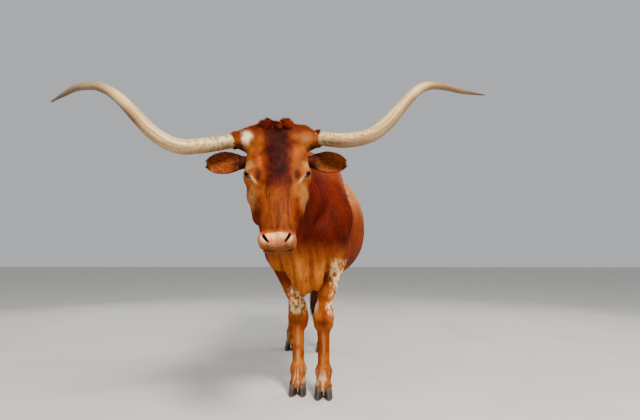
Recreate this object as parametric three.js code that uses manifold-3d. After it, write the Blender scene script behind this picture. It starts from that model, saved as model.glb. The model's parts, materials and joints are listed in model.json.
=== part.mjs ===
// A Texas longhorn steer, standing square with its head turned to look at the viewer, as a still life-size model.
// Millimetres, +Z up. The animal faces -Y, its left side is +X, and its soles stand on Z = 0.
import * as THREE from "three";
import { mergeVertices } from "three/addons/utils/BufferGeometryUtils.js";
import Module from "manifold-3d";

const wasm = await Module();
wasm.setup();

const GAP = 0.3;
const DEG = Math.PI / 180;
const SIDES = { left: 1, right: -1 };
const vec = (x, y, z) => new THREE.Vector3(x, y, z);
const mix = (a, b, t) => a + (b - a) * t;
const clamp = (v, lo, hi) => Math.min(hi, Math.max(lo, v));

// Driving sizes of the animal
const KNEE_HEIGHT = 442;
const HOCK_HEIGHT = 545;
const FETLOCK_HEIGHT = 136;
const CORONET_HEIGHT = 66;
const FORE_FEET = { left: { x: 100, y: -605 }, right: { x: -53, y: -548 } };
const HIND_FEET = { left: { x: 44, y: 640 }, right: { x: -228, y: 700 } };
const HIP_SWAY = -46;

// The head is measured from the top of its poll: across to its left, down the face, and out of the forehead.
const POLL = vec(-76, -1386, 1390);
const HEAD_YAW = 8 * DEG;
const FACE_PITCH = 16 * DEG;
const HEAD_ROLL = 1.5 * DEG;
const LEVEL = vec(Math.cos(HEAD_YAW), Math.sin(HEAD_YAW), 0);
const FACING = vec(Math.sin(HEAD_YAW), -Math.cos(HEAD_YAW), 0);
const turned = (a, b, angle) => a.clone().multiplyScalar(Math.cos(angle)).addScaledVector(b, Math.sin(angle));
const ACROSS = turned(LEVEL, vec(0, 0, 1), HEAD_ROLL);
const CROWN = turned(vec(0, 0, 1), LEVEL.clone().negate(), HEAD_ROLL);
const DOWN_FACE = turned(CROWN.clone().negate(), FACING, FACE_PITCH);
const OUT_FACE = turned(FACING, CROWN, FACE_PITCH);
const HEAD_AXES = [ACROSS, DOWN_FACE, OUT_FACE];
const HEAD_MATRIX = new THREE.Matrix4().makeBasis(...HEAD_AXES).setPosition(POLL);
const head = (across, down, out) => vec(across, down, out).applyMatrix4(HEAD_MATRIX);

// Forms of flesh: tapered capsules of elliptical section that melt into each other by their blend.
const forms = [];
function muscle(from, to, across, start, end, blend) {
  const w = to.clone().sub(from);
  const length = w.length();
  w.normalize();
  const u = across.clone().addScaledVector(w, -across.dot(w)).normalize();
  const v = w.clone().cross(u);
  forms.push({ from, u, v, w, length, start, end, blend });
}
function lump(centre, radii, blend, axes = [vec(1, 0, 0), vec(0, 1, 0), vec(0, 0, 1)]) {
  const [u, v, w] = axes;
  forms.push({ from: centre, u, v, w, length: 0, start: radii, end: radii, cap: radii[2], blend });
}

function formDistance(form, p) {
  const dx = p.x - form.from.x;
  const dy = p.y - form.from.y;
  const dz = p.z - form.from.z;
  const { u, v, w } = form;
  const along = dx * w.x + dy * w.y + dz * w.z;
  const t = form.length ? clamp(along / form.length, 0, 1) : 0;
  const qu = dx * u.x + dy * u.y + dz * u.z;
  const qv = dx * v.x + dy * v.y + dz * v.z;
  const qw = along - t * form.length;
  const ru = mix(form.start[0], form.end[0], t);
  const rv = mix(form.start[1], form.end[1], t);
  const rw = form.cap ?? Math.sqrt(ru * rv);
  const k = Math.hypot(qu / ru, qv / rv, qw / rw);
  return k < 0.02 ? -Math.min(ru, rv) : Math.hypot(qu, qv, qw) * (1 - 1 / k);
}
function softMin(a, b, k) {
  const h = Math.max(k - Math.abs(a - b), 0) / k;
  return Math.min(a, b) - (h * h * k) / 4;
}

// The trunk is a hull drawn through stations along Y: middle, top line, widest level, belly line and half width.
const TRUNK = [
  { y: -800, mid: 0, top: 1200, wide: 960, floor: 700, half: 150 },
  { y: -700, mid: 0, top: 1310, wide: 970, floor: 670, half: 205 },
  { y: -560, mid: 0, top: 1392, wide: 985, floor: 672, half: 236 },
  { y: -400, mid: 0, top: 1408, wide: 1000, floor: 672, half: 280 },
  { y: -200, mid: 0, top: 1400, wide: 1000, floor: 648, half: 342 },
  { y: 60, mid: 0, top: 1400, wide: 995, floor: 622, half: 380 },
  { y: 260, mid: -6, top: 1406, wide: 1010, floor: 650, half: 364 },
  { y: 440, mid: -20, top: 1418, wide: 1060, floor: 722, half: 315 },
  { y: 620, mid: -36, top: 1418, wide: 1130, floor: 810, half: 254 },
  { y: 800, mid: HIP_SWAY, top: 1372, wide: 1160, floor: 920, half: 170 },
];
const TRUNK_CAP = 70;
const ROOF = 2.3;
const BELLY = 2.15;
function stationAt(y) {
  const last = TRUNK.length - 1;
  const yc = clamp(y, TRUNK[0].y, TRUNK[last].y);
  let i = 0;
  while (i < last - 1 && yc > TRUNK[i + 1].y) i++;
  const a = TRUNK[i];
  const b = TRUNK[i + 1];
  const before = TRUNK[Math.max(i - 1, 0)];
  const after = TRUNK[Math.min(i + 2, last)];
  const t = (yc - a.y) / (b.y - a.y);
  const t2 = t * t;
  const t3 = t2 * t;
  const at = { beyond: y - yc };
  for (const key of ["mid", "top", "wide", "floor", "half"]) {
    const ma = ((b[key] - before[key]) / (b.y - before.y || 1)) * (b.y - a.y);
    const mb = ((after[key] - a[key]) / (after.y - a.y || 1)) * (b.y - a.y);
    at[key] = (2 * t3 - 3 * t2 + 1) * a[key] + (t3 - 2 * t2 + t) * ma + (3 * t2 - 2 * t3) * b[key] + (t3 - t2) * mb;
  }
  return at;
}
function trunkDistance(p) {
  const s = stationAt(p.y);
  const high = p.z > s.wide;
  const rise = high ? s.top - s.wide : s.wide - s.floor;
  const n = high ? ROOF : BELLY;
  const across = Math.abs(p.x - s.mid);
  const section = Math.pow(Math.pow(across / s.half, n) + Math.pow(Math.abs(p.z - s.wide) / rise, n), 1 / n);
  const k = Math.hypot(section, s.beyond / TRUNK_CAP);
  return k < 0.02 ? -s.half : Math.hypot(across, p.z - s.wide, s.beyond) * (1 - 1 / k);
}
function flesh(p) {
  let d = trunkDistance(p);
  for (const form of forms) d = softMin(d, formDistance(form, p), form.blend);
  return d;
}

const X = vec(1, 0, 0);
const Y = vec(0, 1, 0);

// Neck, dewlap and brisket
muscle(head(0, 118, -150), vec(0, -620, 1290), X, [88, 104], [122, 138], 60);
muscle(head(0, 205, -185), vec(0, -700, 1085), X, [92, 120], [180, 222], 70);
muscle(head(0, 245, -220), vec(-10, -880, 850), X, [56, 74], [96, 106], 60);
muscle(head(0, 315, -235), vec(-20, -905, 730), X, [18, 40], [34, 66], 50);
muscle(vec(2, -830, 800), vec(14, -800, 676), X, [122, 96], [88, 64], 60);
muscle(vec(-6, -850, 700), vec(-10, -828, 614), X, [54, 52], [21, 32], 40);
muscle(vec(48, -800, 700), vec(58, -770, 652), X, [48, 50], [32, 38], 34);
muscle(vec(0, -800, 668), vec(0, -660, 660), X, [44, 42], [60, 44], 50);

// Withers, croup, tail head, sheath and cod
muscle(vec(0, -520, 1384), vec(0, -330, 1372), X, [60, 50], [62, 46], 80);
muscle(vec(HIP_SWAY, 420, 1372), vec(HIP_SWAY, 850, 1348), X, [120, 50], [46, 44], 70);
lump(vec(0, 130, 626), [42, 130, 34], 60);
lump(vec(HIP_SWAY, 600, 800), [50, 66, 50], 50);

for (const [name, side] of Object.entries(SIDES)) {
  const at = (x, y, z) => vec(side * x, y, z);
  // Shoulder blade, point of shoulder, upper arm and breast
  muscle(at(128, -440, 1344), at(194, -720, 1030), X, [66, 110], [76, 110], 60);
  muscle(at(176, -800, 985), at(196, -560, 850), X, [76, 96], [64, 100], 60);
  muscle(at(180, -500, 950), at(184, -470, 810), X, [60, 70], [44, 50], 45);
  muscle(at(100, -850, 910), at(150, -720, 790), X, [70, 90], [64, 76], 60);
  // Forearm, knee, cannon, fetlock and pastern
  const fore = FORE_FEET[name];
  const front = (x, y, z) => vec(fore.x + side * x, fore.y + y, z);
  muscle(at(180, -560, 840), front(4, 8, 520), X, [70, 90], [46, 47], 40);
  muscle(at(186, -600, 800), front(24, -16, 590), X, [46, 48], [34, 36], 40);
  muscle(front(0, 0, KNEE_HEIGHT + 34), front(-1, -2, KNEE_HEIGHT - 30), X, [57, 50], [60, 48], 28);
  lump(front(-2, -12, KNEE_HEIGHT + 2), [60, 44, 46], 20);
  lump(front(0, 24, KNEE_HEIGHT), [42, 40, 30], 24);
  muscle(front(0, 4, KNEE_HEIGHT - 60), front(0, 8, FETLOCK_HEIGHT + 20), X, [37, 38], [36, 36], 26);
  muscle(front(0, 26, KNEE_HEIGHT - 70), front(0, 28, FETLOCK_HEIGHT + 20), X, [20, 20], [20, 20], 18);
  lump(front(0, 8, FETLOCK_HEIGHT), [48, 46, 44], 26);
  muscle(front(0, 4, FETLOCK_HEIGHT - 6), front(0, -20, CORONET_HEIGHT - 10), X, [42, 39], [46, 46], 22);
  // Hook, pin bone, croup and thigh
  const hip = (x, y, z) => vec(HIP_SWAY + side * x, y, z);
  lump(hip(232, 545, 1330), [54, 70, 44], 80);
  lump(hip(112, 868, 1262), [46, 50, 52], 60);
  muscle(hip(225, 540, 1310), hip(108, 860, 1255), X, [54, 64], [50, 56], 80);
  muscle(hip(180, 640, 1180), hip(200, 500, 880), X, [82, 180], [64, 104], 70);
  muscle(hip(132, 800, 1180), hip(150, 760, 870), X, [84, 104], [62, 92], 60);
  lump(hip(190, 420, 835), [54, 68, 74], 60);
  muscle(hip(115, 690, 1000), hip(120, 660, 790), X, [74, 120], [54, 88], 60);
  // Gaskin, hamstring, hock, cannon, fetlock and pastern
  const hind = HIND_FEET[name];
  const rear = (x, y, z) => vec(hind.x + side * x, hind.y + y, z);
  muscle(hip(178, 510, 830), rear(10, 96, HOCK_HEIGHT + 14), X, [62, 98], [36, 52], 50);
  muscle(hip(148, 760, 850), rear(10, 154, HOCK_HEIGHT + 66), X, [44, 62], [20, 24], 46);
  lump(rear(8, 104, HOCK_HEIGHT - 22), [40, 52, 64], 30);
  muscle(rear(8, 156, HOCK_HEIGHT + 55), rear(8, 134, HOCK_HEIGHT - 50), X, [22, 24], [24, 26], 24);
  muscle(rear(6, 108, HOCK_HEIGHT - 60), rear(0, 48, FETLOCK_HEIGHT + 20), X, [34, 40], [34, 37], 26);
  muscle(rear(6, 130, HOCK_HEIGHT - 70), rear(0, 66, FETLOCK_HEIGHT + 20), X, [19, 21], [20, 21], 18);
  lump(rear(0, 42, FETLOCK_HEIGHT), [45, 46, 45], 26);
  muscle(rear(0, 34, FETLOCK_HEIGHT - 6), rear(0, -10, CORONET_HEIGHT - 10), X, [39, 38], [45, 46], 22);
}

// Skull, forehead, poll, nose, muzzle, lips and throat, in the head's own measures
const skull = (from, to, start, end, blend) => muscle(head(...from), head(...to), ACROSS, start, end, blend);
skull([0, 120, -130], [0, 290, -126], [106, 92], [112, 96], 40);
skull([0, 92, -66], [0, 300, -54], [112, 46], [114, 42], 40);
skull([0, 310, -72], [0, 520, -40], [100, 56], [54, 40], 40);
skull([0, 330, -104], [0, 515, -66], [108, 66], [72, 48], 40);
skull([0, 290, -190], [0, 530, -104], [68, 54], [46, 32], 40);
lump(head(0, 62, -78), [138, 80, 58], 40, HEAD_AXES);
muscle(head(-104, 46, -80), head(112, 36, -80), OUT_FACE, [52, 56], [52, 56], 40);
lump(head(0, 546, -38), [80, 48, 56], 30, HEAD_AXES);
lump(head(0, 556, -58), [70, 26, 44], 22, HEAD_AXES);
lump(head(0, 550, -98), [54, 36, 27], 14, HEAD_AXES);
for (const side of Object.values(SIDES)) {
  const at = (across, down, out) => head(side * across, down, out);
  muscle(at(70, 60, -76), at(196, 66, -56), OUT_FACE, [62, 60], [37, 37], 36);
  muscle(at(92, 146, -112), at(166, 152, -104), OUT_FACE, [36, 40], [27, 30], 30);
  muscle(at(100, 160, -70), at(108, 250, -62), OUT_FACE, [42, 34], [40, 32], 30);
  lump(at(114, 244, -62), [28, 40, 36], 24, HEAD_AXES);
  lump(at(102, 312, -98), [30, 46, 34], 30, HEAD_AXES);
  muscle(at(80, 284, -158), at(78, 396, -130), OUT_FACE, [84, 44], [50, 34], 36);
  muscle(at(66, 232, -232), at(40, 490, -116), OUT_FACE, [36, 28], [24, 20], 34);
  lump(at(50, 548, -6), [29, 29, 27], 20, HEAD_AXES);
}

// Polygonises a field inside a box by surface nets, and pulls each vertex onto the surface.
function solidFromField(field, lo, hi, cell) {
  const n = lo.map((v, i) => Math.max(3, Math.round((hi[i] - v) / cell[i])));
  const step = n.map((count, i) => (hi[i] - lo[i]) / count);
  const stride = [1, n[0] + 1, (n[0] + 1) * (n[1] + 1)];
  const value = new Float64Array((n[0] + 1) * (n[1] + 1) * (n[2] + 1));
  const p = vec();
  const OUTSIDE = 1;
  for (let k = 0, id = 0; k <= n[2]; k++)
    for (let j = 0; j <= n[1]; j++)
      for (let i = 0; i <= n[0]; i++, id++) {
        const rim = !i || !j || !k || i === n[0] || j === n[1] || k === n[2];
        const d = field(p.set(lo[0] + i * step[0], lo[1] + j * step[1], lo[2] + k * step[2]));
        value[id] = rim ? Math.max(d, OUTSIDE) : d;
      }
  fillPinches(value, n, stride);
  const cellVertex = new Map();
  const position = [];
  const corners = [0, 1, 2, 3, 4, 5, 6, 7].map((c) => [c & 1, (c >> 1) & 1, (c >> 2) & 1]);
  for (let k = 0; k < n[2]; k++)
    for (let j = 0; j < n[1]; j++)
      for (let i = 0; i < n[0]; i++) {
        const base = i + j * stride[1] + k * stride[2];
        const v = corners.map((c) => value[base + c[0] + c[1] * stride[1] + c[2] * stride[2]]);
        const inside = v.filter((d) => d < 0).length;
        if (!inside || inside === 8) continue;
        const sum = [0, 0, 0];
        let crossings = 0;
        for (let a = 0; a < 8; a++)
          for (let axis = 0; axis < 3; axis++) {
            const b = a | (1 << axis);
            if (b === a || v[a] < 0 === v[b] < 0) continue;
            const t = v[a] / (v[a] - v[b]);
            for (let x = 0; x < 3; x++) sum[x] += corners[a][x] + (x === axis ? t : 0);
            crossings++;
          }
        p.set(...[i, j, k].map((c, x) => lo[x] + (c + sum[x] / crossings) * step[x]));
        const low = [i, j, k].map((c, x) => lo[x] + (c + 0.06) * step[x]);
        const high = [i, j, k].map((c, x) => lo[x] + (c + 0.94) * step[x]);
        settle(field, p, low, high);
        cellVertex.set(base, position.length / 3);
        position.push(p.x, p.y, p.z);
      }
  const index = [];
  for (let k = 0; k < n[2]; k++)
    for (let j = 0; j < n[1]; j++)
      for (let i = 0; i < n[0]; i++) {
        const base = i + j * stride[1] + k * stride[2];
        for (let axis = 0; axis < 3; axis++) {
          const inside = value[base] < 0;
          if (inside === value[base + stride[axis]] < 0) continue;
          const s1 = stride[(axis + 1) % 3];
          const s2 = stride[(axis + 2) % 3];
          const ring = [base - s1 - s2, base - s2, base, base - s1].map((id) => cellVertex.get(id));
          if (!inside) ring.reverse();
          index.push(ring[0], ring[1], ring[2], ring[0], ring[2], ring[3]);
        }
      }
  return closed(position, index);
}
// Fills the grid points where the surface would only touch itself along an edge or at a corner.
function fillPinches(value, n, stride) {
  const FILL = -0.01;
  const fill = (a, b) => (value[value[a] < value[b] ? a : b] = FILL);
  let found = true;
  while (found) {
    found = false;
    for (let k = 0; k < n[2]; k++)
      for (let j = 0; j < n[1]; j++)
        for (let i = 0; i < n[0]; i++) {
          const a = i + j * stride[1] + k * stride[2];
          for (let axis = 0; axis < 3; axis++) {
            const s1 = stride[(axis + 1) % 3];
            const s2 = stride[(axis + 2) % 3];
            const [v0, v1, v2, v3] = [a, a + s1, a + s1 + s2, a + s2].map((id) => value[id] < 0);
            if (v0 !== v2 || v1 !== v3 || v0 === v1) continue;
            if (v0) fill(a + s1, a + s2);
            else fill(a, a + s1 + s2);
            found = true;
          }
        }
  }
}
function settle(field, p, low, high) {
  const PROBE = 1;
  const STEPS = 4;
  const q = vec();
  const at = (dx, dy, dz) => field(q.set(p.x + dx, p.y + dy, p.z + dz));
  for (let i = 0; i < STEPS; i++) {
    const d = field(p);
    const g = [
      at(PROBE, 0, 0) - at(-PROBE, 0, 0),
      at(0, PROBE, 0) - at(0, -PROBE, 0),
      at(0, 0, PROBE) - at(0, 0, -PROBE),
    ].map((s) => s / (2 * PROBE));
    const size = Math.max(g[0] ** 2 + g[1] ** 2 + g[2] ** 2, 0.05);
    const pull = clamp(-d / size, -8, 8);
    p.set(...["x", "y", "z"].map((axis, x) => clamp(p[axis] + g[x] * pull, low[x], high[x])));
  }
}

// Closed solids from points and triangles, turned outside out where the axes they were made in are mirrored
function closed(position, index) {
  const vertProperties = new Float32Array(position);
  const triVerts = new Uint32Array(index);
  const made = new wasm.Manifold(new wasm.Mesh({ numProp: 3, vertProperties, triVerts }));
  if (made.volume() > 0) return made;
  for (let i = 0; i < triVerts.length; i += 3) [triVerts[i + 1], triVerts[i + 2]] = [triVerts[i + 2], triVerts[i + 1]];
  return new wasm.Manifold(new wasm.Mesh({ numProp: 3, vertProperties, triVerts }));
}
function solidOf(geometry) {
  const g = geometry.clone();
  g.deleteAttribute("normal");
  g.deleteAttribute("uv");
  const merged = mergeVertices(g, 1e-4);
  return closed(merged.attributes.position.array, merged.index.array);
}
function largest(solid) {
  return solid.decompose().reduce((a, b) => (b.volume() > a.volume() ? b : a));
}
function loft(rings) {
  const sides = rings[0].length;
  const position = rings.flat().flatMap((p) => [p.x, p.y, p.z]);
  const index = [];
  for (let r = 0; r + 1 < rings.length; r++)
    for (let s = 0; s < sides; s++) {
      const a = r * sides + s;
      const b = r * sides + ((s + 1) % sides);
      index.push(a, b, b + sides, a, b + sides, a + sides);
    }
  const end = (rings.length - 1) * sides;
  for (let s = 1; s + 1 < sides; s++) {
    index.push(0, s + 1, s);
    index.push(end, end + s, end + s + 1);
  }
  return closed(position, index);
}
function block(lo, hi, matrix = new THREE.Matrix4()) {
  const g = new THREE.BoxGeometry(hi[0] - lo[0], hi[1] - lo[1], hi[2] - lo[2]);
  g.translate((lo[0] + hi[0]) / 2, (lo[1] + hi[1]) / 2, (lo[2] + hi[2]) / 2);
  return solidOf(g.applyMatrix4(matrix));
}
// A large block filling the side of a plane that its normal points to, starting half a gap before the plane
function beyond(point, normal, reach = 4000) {
  const turn = new THREE.Quaternion().setFromUnitVectors(vec(0, 0, 1), normal.clone().normalize());
  const m = new THREE.Matrix4().makeRotationFromQuaternion(turn).setPosition(point);
  return block([-reach, -reach, -GAP / 2], [reach, reach, reach], m);
}

// A lock of hair: a flat, tapered strand that leaves its root one way and bends to another
const LOCK_RINGS = 5;
let seed = 20260;
function draw() {
  seed = (seed * 1103515245 + 12345) % 2147483648;
  return seed / 2147483648;
}
function lock({ root, leave, end, face, length, width, thick }) {
  const rings = [];
  const p = root.clone();
  for (let r = 0; r < LOCK_RINGS; r++) {
    const t = r / (LOCK_RINGS - 1);
    const along = leave.clone().lerp(end, t).normalize();
    if (r) p.addScaledVector(along, length / (LOCK_RINGS - 1));
    const wide = along.clone().cross(face).normalize();
    const proud = wide.clone().cross(along);
    const w = (width / 2) * mix(0.72 + 0.5 * Math.sin(Math.PI * Math.min(1, t * 1.1)), 0.12, t ** 2);
    const h = (thick / 2) * mix(1, 0.16, t);
    rings.push([
      p.clone().addScaledVector(wide, w),
      p.clone().addScaledVector(proud, h),
      p.clone().addScaledVector(wide, -w),
      p.clone().addScaledVector(proud, -h),
    ]);
  }
  return loft(rings);
}

const group = new THREE.Group();
const COAT = { color: 0x7a2f14, roughness: 0.75, metalness: 0 };
const HORN = { color: 0xd8c9a0, roughness: 0.45, metalness: 0 };
const HOOF = { color: 0x4a3a2c, roughness: 0.55, metalness: 0 };
const EYE = { color: 0x140c08, roughness: 0.08, metalness: 0 };
function node(name, solid, look) {
  const m = largest(solid).getMesh();
  const g = new THREE.BufferGeometry();
  const position = new Float32Array(m.numVert * 3);
  for (let i = 0; i < m.numVert; i++) position.set(m.vertProperties.subarray(i * m.numProp, i * m.numProp + 3), i * 3);
  g.setAttribute("position", new THREE.BufferAttribute(position, 3));
  g.setIndex(new THREE.BufferAttribute(m.triVerts, 1));
  g.computeVertexNormals();
  const mesh = new THREE.Mesh(g, new THREE.MeshStandardMaterial(look));
  mesh.name = name;
  group.add(mesh);
}

// Bodies of revolution and cutters
function ball(centre, radii, wide, high, axes = [X, Y, vec(0, 0, 1)]) {
  const g = new THREE.SphereGeometry(1, wide, high);
  g.applyMatrix4(new THREE.Matrix4().makeScale(...radii));
  return solidOf(g.applyMatrix4(new THREE.Matrix4().makeBasis(...axes).setPosition(centre)));
}
function smooth(points, t) {
  const last = points.length - 1;
  const s = clamp(t, 0, 1) * last;
  const i = Math.min(Math.floor(s), last - 1);
  const f = s - i;
  const [p0, p1, p2, p3] = [i - 1, i, i + 1, i + 2].map((j) => points[clamp(j, 0, last)]);
  return p1.map((b, k) => {
    const [a, c, d] = [p0[k], p2[k], p3[k]];
    return b + 0.5 * f * (c - a + f * (2 * a - 5 * b + 4 * c - d + f * (3 * (b - c) + d - a)));
  });
}
const inHead = (lo, hi) => block(lo, hi, HEAD_MATRIX);

// Cutting planes between head, neck and trunk
const HEAD_CUT = { point: head(0, 40, -130), normal: head(0, -0.5, -0.866).sub(POLL) };
const NECK_CUT = { point: vec(0, -620, 1400), normal: vec(0, -0.83, 0.55) };
const FORE_TOP = 690;
const FORE_SPLIT = 520;
const HIND_TOP = 850;
const HIND_SPLIT = 640;
const BETWEEN_LEGS = 12;
const SOLE_TOP = CORONET_HEIGHT - 4;

let headFlesh = solidFromField(flesh, [-330, -1620, 700], [200, -1080, 1450], [21, 22, 24]);
const bodyFlesh = solidFromField(flesh, [-450, -1500, 540], [450, 1010, 1520], [60, 82, 60]);
headFlesh = headFlesh.subtract(beyond(HEAD_CUT.point, HEAD_CUT.normal));
const behindHead = beyond(HEAD_CUT.point, HEAD_CUT.normal.clone().negate());
const behindNeck = beyond(NECK_CUT.point, NECK_CUT.normal.clone().negate());
node("neck", bodyFlesh.subtract(behindHead).subtract(behindNeck), COAT);
let trunkFlesh = bodyFlesh.subtract(beyond(NECK_CUT.point, NECK_CUT.normal));

// Horns: stations of across, down, out and diameter in the head's measures, flat where they meet the head
const HORN_ROOT = 176;
const HORN_SIDES = 10;
const HORN_RINGS = 20;
const HORNS = {
  left: [
    [HORN_ROOT, 60, -52, 62],
    [244, 90, -20, 65],
    [312, 109, 11, 66],
    [400, 107, 50, 64],
    [466, 67, 81, 59],
    [518, 14, 100, 54],
    [568, -42, 106, 49],
    [630, -96, 104, 44],
    [690, -119, 93, 38],
    [762, -124, 73, 31],
    [846, -122, 46, 22],
    [964, -127, 16, 7],
  ],
  right: [
    [HORN_ROOT, 71, -56, 61],
    [259, 104, -25, 64],
    [324, 132, 4, 65],
    [388, 150, 30, 65],
    [446, 140, 52, 63],
    [500, 106, 72, 59],
    [548, 58, 88, 55],
    [594, 7, 99, 51],
    [642, -42, 100, 47],
    [690, -80, 95, 43],
    [748, -108, 80, 38],
    [828, -120, 50, 31],
    [888, -105, 25, 21],
    [948, -85, -2, 7],
  ],
};
for (const [name, side] of Object.entries(SIDES)) {
  const stations = HORNS[name];
  const rings = [];
  for (let r = 0; r <= HORN_RINGS; r++) {
    const t = r / HORN_RINGS;
    const [x, y, z, d] = smooth(stations, t);
    const [x1, y1, z1] = smooth(stations, t + 0.01);
    const [x0, y0, z0] = smooth(stations, t - 0.01);
    const w = r ? vec(x1 - x0, y1 - y0, z1 - z0).normalize() : X.clone();
    const u = vec(0, 0, 1).addScaledVector(w, -w.z).normalize();
    const v = w.clone().cross(u);
    const ring = [];
    for (let s = 0; s < HORN_SIDES; s++) {
      const a = (s / HORN_SIDES) * 2 * Math.PI;
      const q = vec(x, y, z).addScaledVector(u, (Math.cos(a) * d) / 2).addScaledVector(v, (Math.sin(a) * d) / 2);
      ring.push(head(side * q.x, q.y, q.z));
    }
    rings.push(ring);
  }
  node("horn_" + name, loft(rings), HORN);
  const far = side * (HORN_ROOT + 120);
  const near = side * (HORN_ROOT - GAP);
  headFlesh = headFlesh.subtract(inHead([Math.min(near, far), -40, -190], [Math.max(near, far), 112, 40]));
}

// Ears: a cup opening forward, closed and flat at its root
const EAR_ROOT = 150;
const EAR_LENGTH = 158;
const EAR_ROWS = 9;
const EAR_SIDE = 6;
const EAR_AXIS = { down: 152, out: -104 };
const EAR_ROOT_HALF = 31;
const EAR_HALF = 55;
function earHalf(t) {
  if (t < 0.5) return mix(EAR_ROOT_HALF, EAR_HALF, Math.sin(t * Math.PI));
  return EAR_HALF * Math.sqrt(1 - ((t - 0.5) / 0.505) ** 2);
}
for (const [name, side] of Object.entries(SIDES)) {
  const rings = [];
  for (let r = 0; r <= EAR_ROWS; r++) {
    const t = 1 - (1 - r / EAR_ROWS) ** 1.4;
    const tall = earHalf(t);
    const back = mix(27, 12, t ** 0.7);
    const wall = mix(9, 6, t);
    const cup = clamp((t - 0.08) / 0.25, 0, 1);
    const spread = mix(88, 70, t) * DEG;
    const drop = 10 * t * t;
    const ring = [];
    for (const inner of [false, true])
      for (let k = 0; k <= EAR_SIDE; k++) {
        const a = mix(-spread, spread, inner ? 1 - k / EAR_SIDE : k / EAR_SIDE);
        const down = Math.sin(a) * (tall - (inner ? wall * 0.6 : 0));
        const dent = inner ? mix(-1, 1, cup) : 1;
        const out = -Math.cos(a) * (back - (inner ? wall * cup : 0)) * dent;
        ring.push(head(side * (EAR_ROOT + t * EAR_LENGTH), EAR_AXIS.down + drop + down, EAR_AXIS.out + out + 8 * t));
      }
    rings.push(ring);
  }
  node("ear_" + name, loft(rings), COAT);
  const far = side * (EAR_ROOT + 90);
  const near = side * (EAR_ROOT - GAP);
  const lo = [Math.min(near, far), 112, -180];
  headFlesh = headFlesh.subtract(inHead(lo, [Math.max(near, far), 205, -50]));
}

// Eyes: a ball in its socket behind two lids with an almond opening between them
const EYE_RADIUS = 20;
const LID_RADIUS = 25;
const LID_GAP = { long: 21, high: 10 };
for (const [name, side] of Object.entries(SIDES)) {
  const centre = head(side * 113, 252, -50);
  const gaze = vec(side * 0.68, -0.05, 0.72).normalize().applyMatrix4(new THREE.Matrix4().extractRotation(HEAD_MATRIX));
  const slant = vec(side * -0.35, 0.62, 0.45).applyMatrix4(new THREE.Matrix4().extractRotation(HEAD_MATRIX));
  const along = slant.addScaledVector(gaze, -slant.dot(gaze)).normalize();
  const axes = [along, gaze.clone().cross(along), gaze];
  const frame = new THREE.Matrix4().makeBasis(...axes).setPosition(centre);
  const slit = [];
  for (const depth of [4, LID_RADIUS + 14]) {
    const ring = [];
    for (let k = 0; k < 12; k++) {
      const a = (k / 12) * 2 * Math.PI;
      const open = Math.sin(a) * Math.abs(Math.sin(a)) ** 0.5;
      ring.push(vec(Math.cos(a) * LID_GAP.long, open * LID_GAP.high, depth).applyMatrix4(frame));
    }
    slit.push(ring);
  }
  headFlesh = headFlesh.add(ball(centre, Array(3).fill(LID_RADIUS), 12, 9, axes));
  headFlesh = headFlesh.subtract(ball(centre, Array(3).fill(EYE_RADIUS + GAP), 12, 8, axes));
  headFlesh = headFlesh.subtract(loft(slit));
  node("eye_" + name, ball(centre, Array(3).fill(EYE_RADIUS), 12, 8, axes), EYE);
}

// Nostrils and the line of the mouth
for (const side of Object.values(SIDES)) {
  const along = vec(side * -0.5, 0.86, 0).applyMatrix4(new THREE.Matrix4().extractRotation(HEAD_MATRIX)).normalize();
  const axes = [along, OUT_FACE.clone().cross(along), OUT_FACE];
  headFlesh = headFlesh.subtract(ball(head(side * 42, 546, 14), [25, 8.5, 22], 12, 8, axes));
}
const LIP = { down: 581, half: 4, deep: 9, rows: 16, wide: 72, long: 66, back: -62, sweep: 118 * DEG };
const lipRings = [];
for (let r = 0; r <= LIP.rows; r++) {
  const a = mix(-LIP.sweep, LIP.sweep, r / LIP.rows);
  const rise = 16 * Math.abs(Math.sin(a / 2)) ** 2;
  const place = (grow, up) => {
    const x = Math.sin(a) * (LIP.wide + grow);
    return head(x, LIP.down - rise * 2.2 + up, LIP.back + Math.cos(a) * (LIP.long + grow));
  };
  lipRings.push([place(-LIP.deep, 0), place(LIP.deep * 3, -LIP.half * 2), place(LIP.deep * 3, LIP.half * 2)]);
}
headFlesh = headFlesh.subtract(loft(lipRings));

// The tuft of the poll: locks parted near the middle, standing up from the crest and bending down the forehead
const TUFT = { rows: 3, columns: 7, half: 78, part: -4, crest: [41, -80], crestRadii: [66, 64], sunk: 10, length: 76 };
const headTurn = (across, down, out) => head(across, down, out).sub(POLL).normalize();
for (let row = 0; row < TUFT.rows; row++)
  for (let column = 0; column < TUFT.columns; column++) {
    const u = (2 * (column + 0.5 + 0.5 * (draw() - 0.5))) / TUFT.columns - 1;
    const lift = (mix(-6, 46, row / (TUFT.rows - 1)) + 14 * (draw() - 0.5)) * DEG;
    const away = [-Math.cos(lift), Math.sin(lift)];
    const ahead = [Math.sin(lift), Math.cos(lift)];
    const across = TUFT.part + u * TUFT.half;
    const [down, out] = TUFT.crest.map((c, i) => c + away[i] * (TUFT.crestRadii[i] - TUFT.sunk));
    const bend = (normal, tangent, side) =>
      headTurn(side * u, normal * away[0] + tangent * ahead[0], normal * away[1] + tangent * ahead[1]);
    const root = head(across, down, out);
    const front = row / (TUFT.rows - 1);
    const length = TUFT.length * (0.8 + 0.3 * draw()) * (1 - 0.25 * Math.abs(u)) * mix(0.72, 1.2, front);
    const leave = bend(mix(0.85, 0.75, front), 0.5, 0.5);
    const end = bend(mix(-0.1, -0.38, front), 0.9, 0.75);
    headFlesh = headFlesh.add(lock({ root, leave, end, face: bend(1, 0.2, 0), length, width: 27, thick: 8 }));
  }
node("head", headFlesh, COAT);

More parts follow.
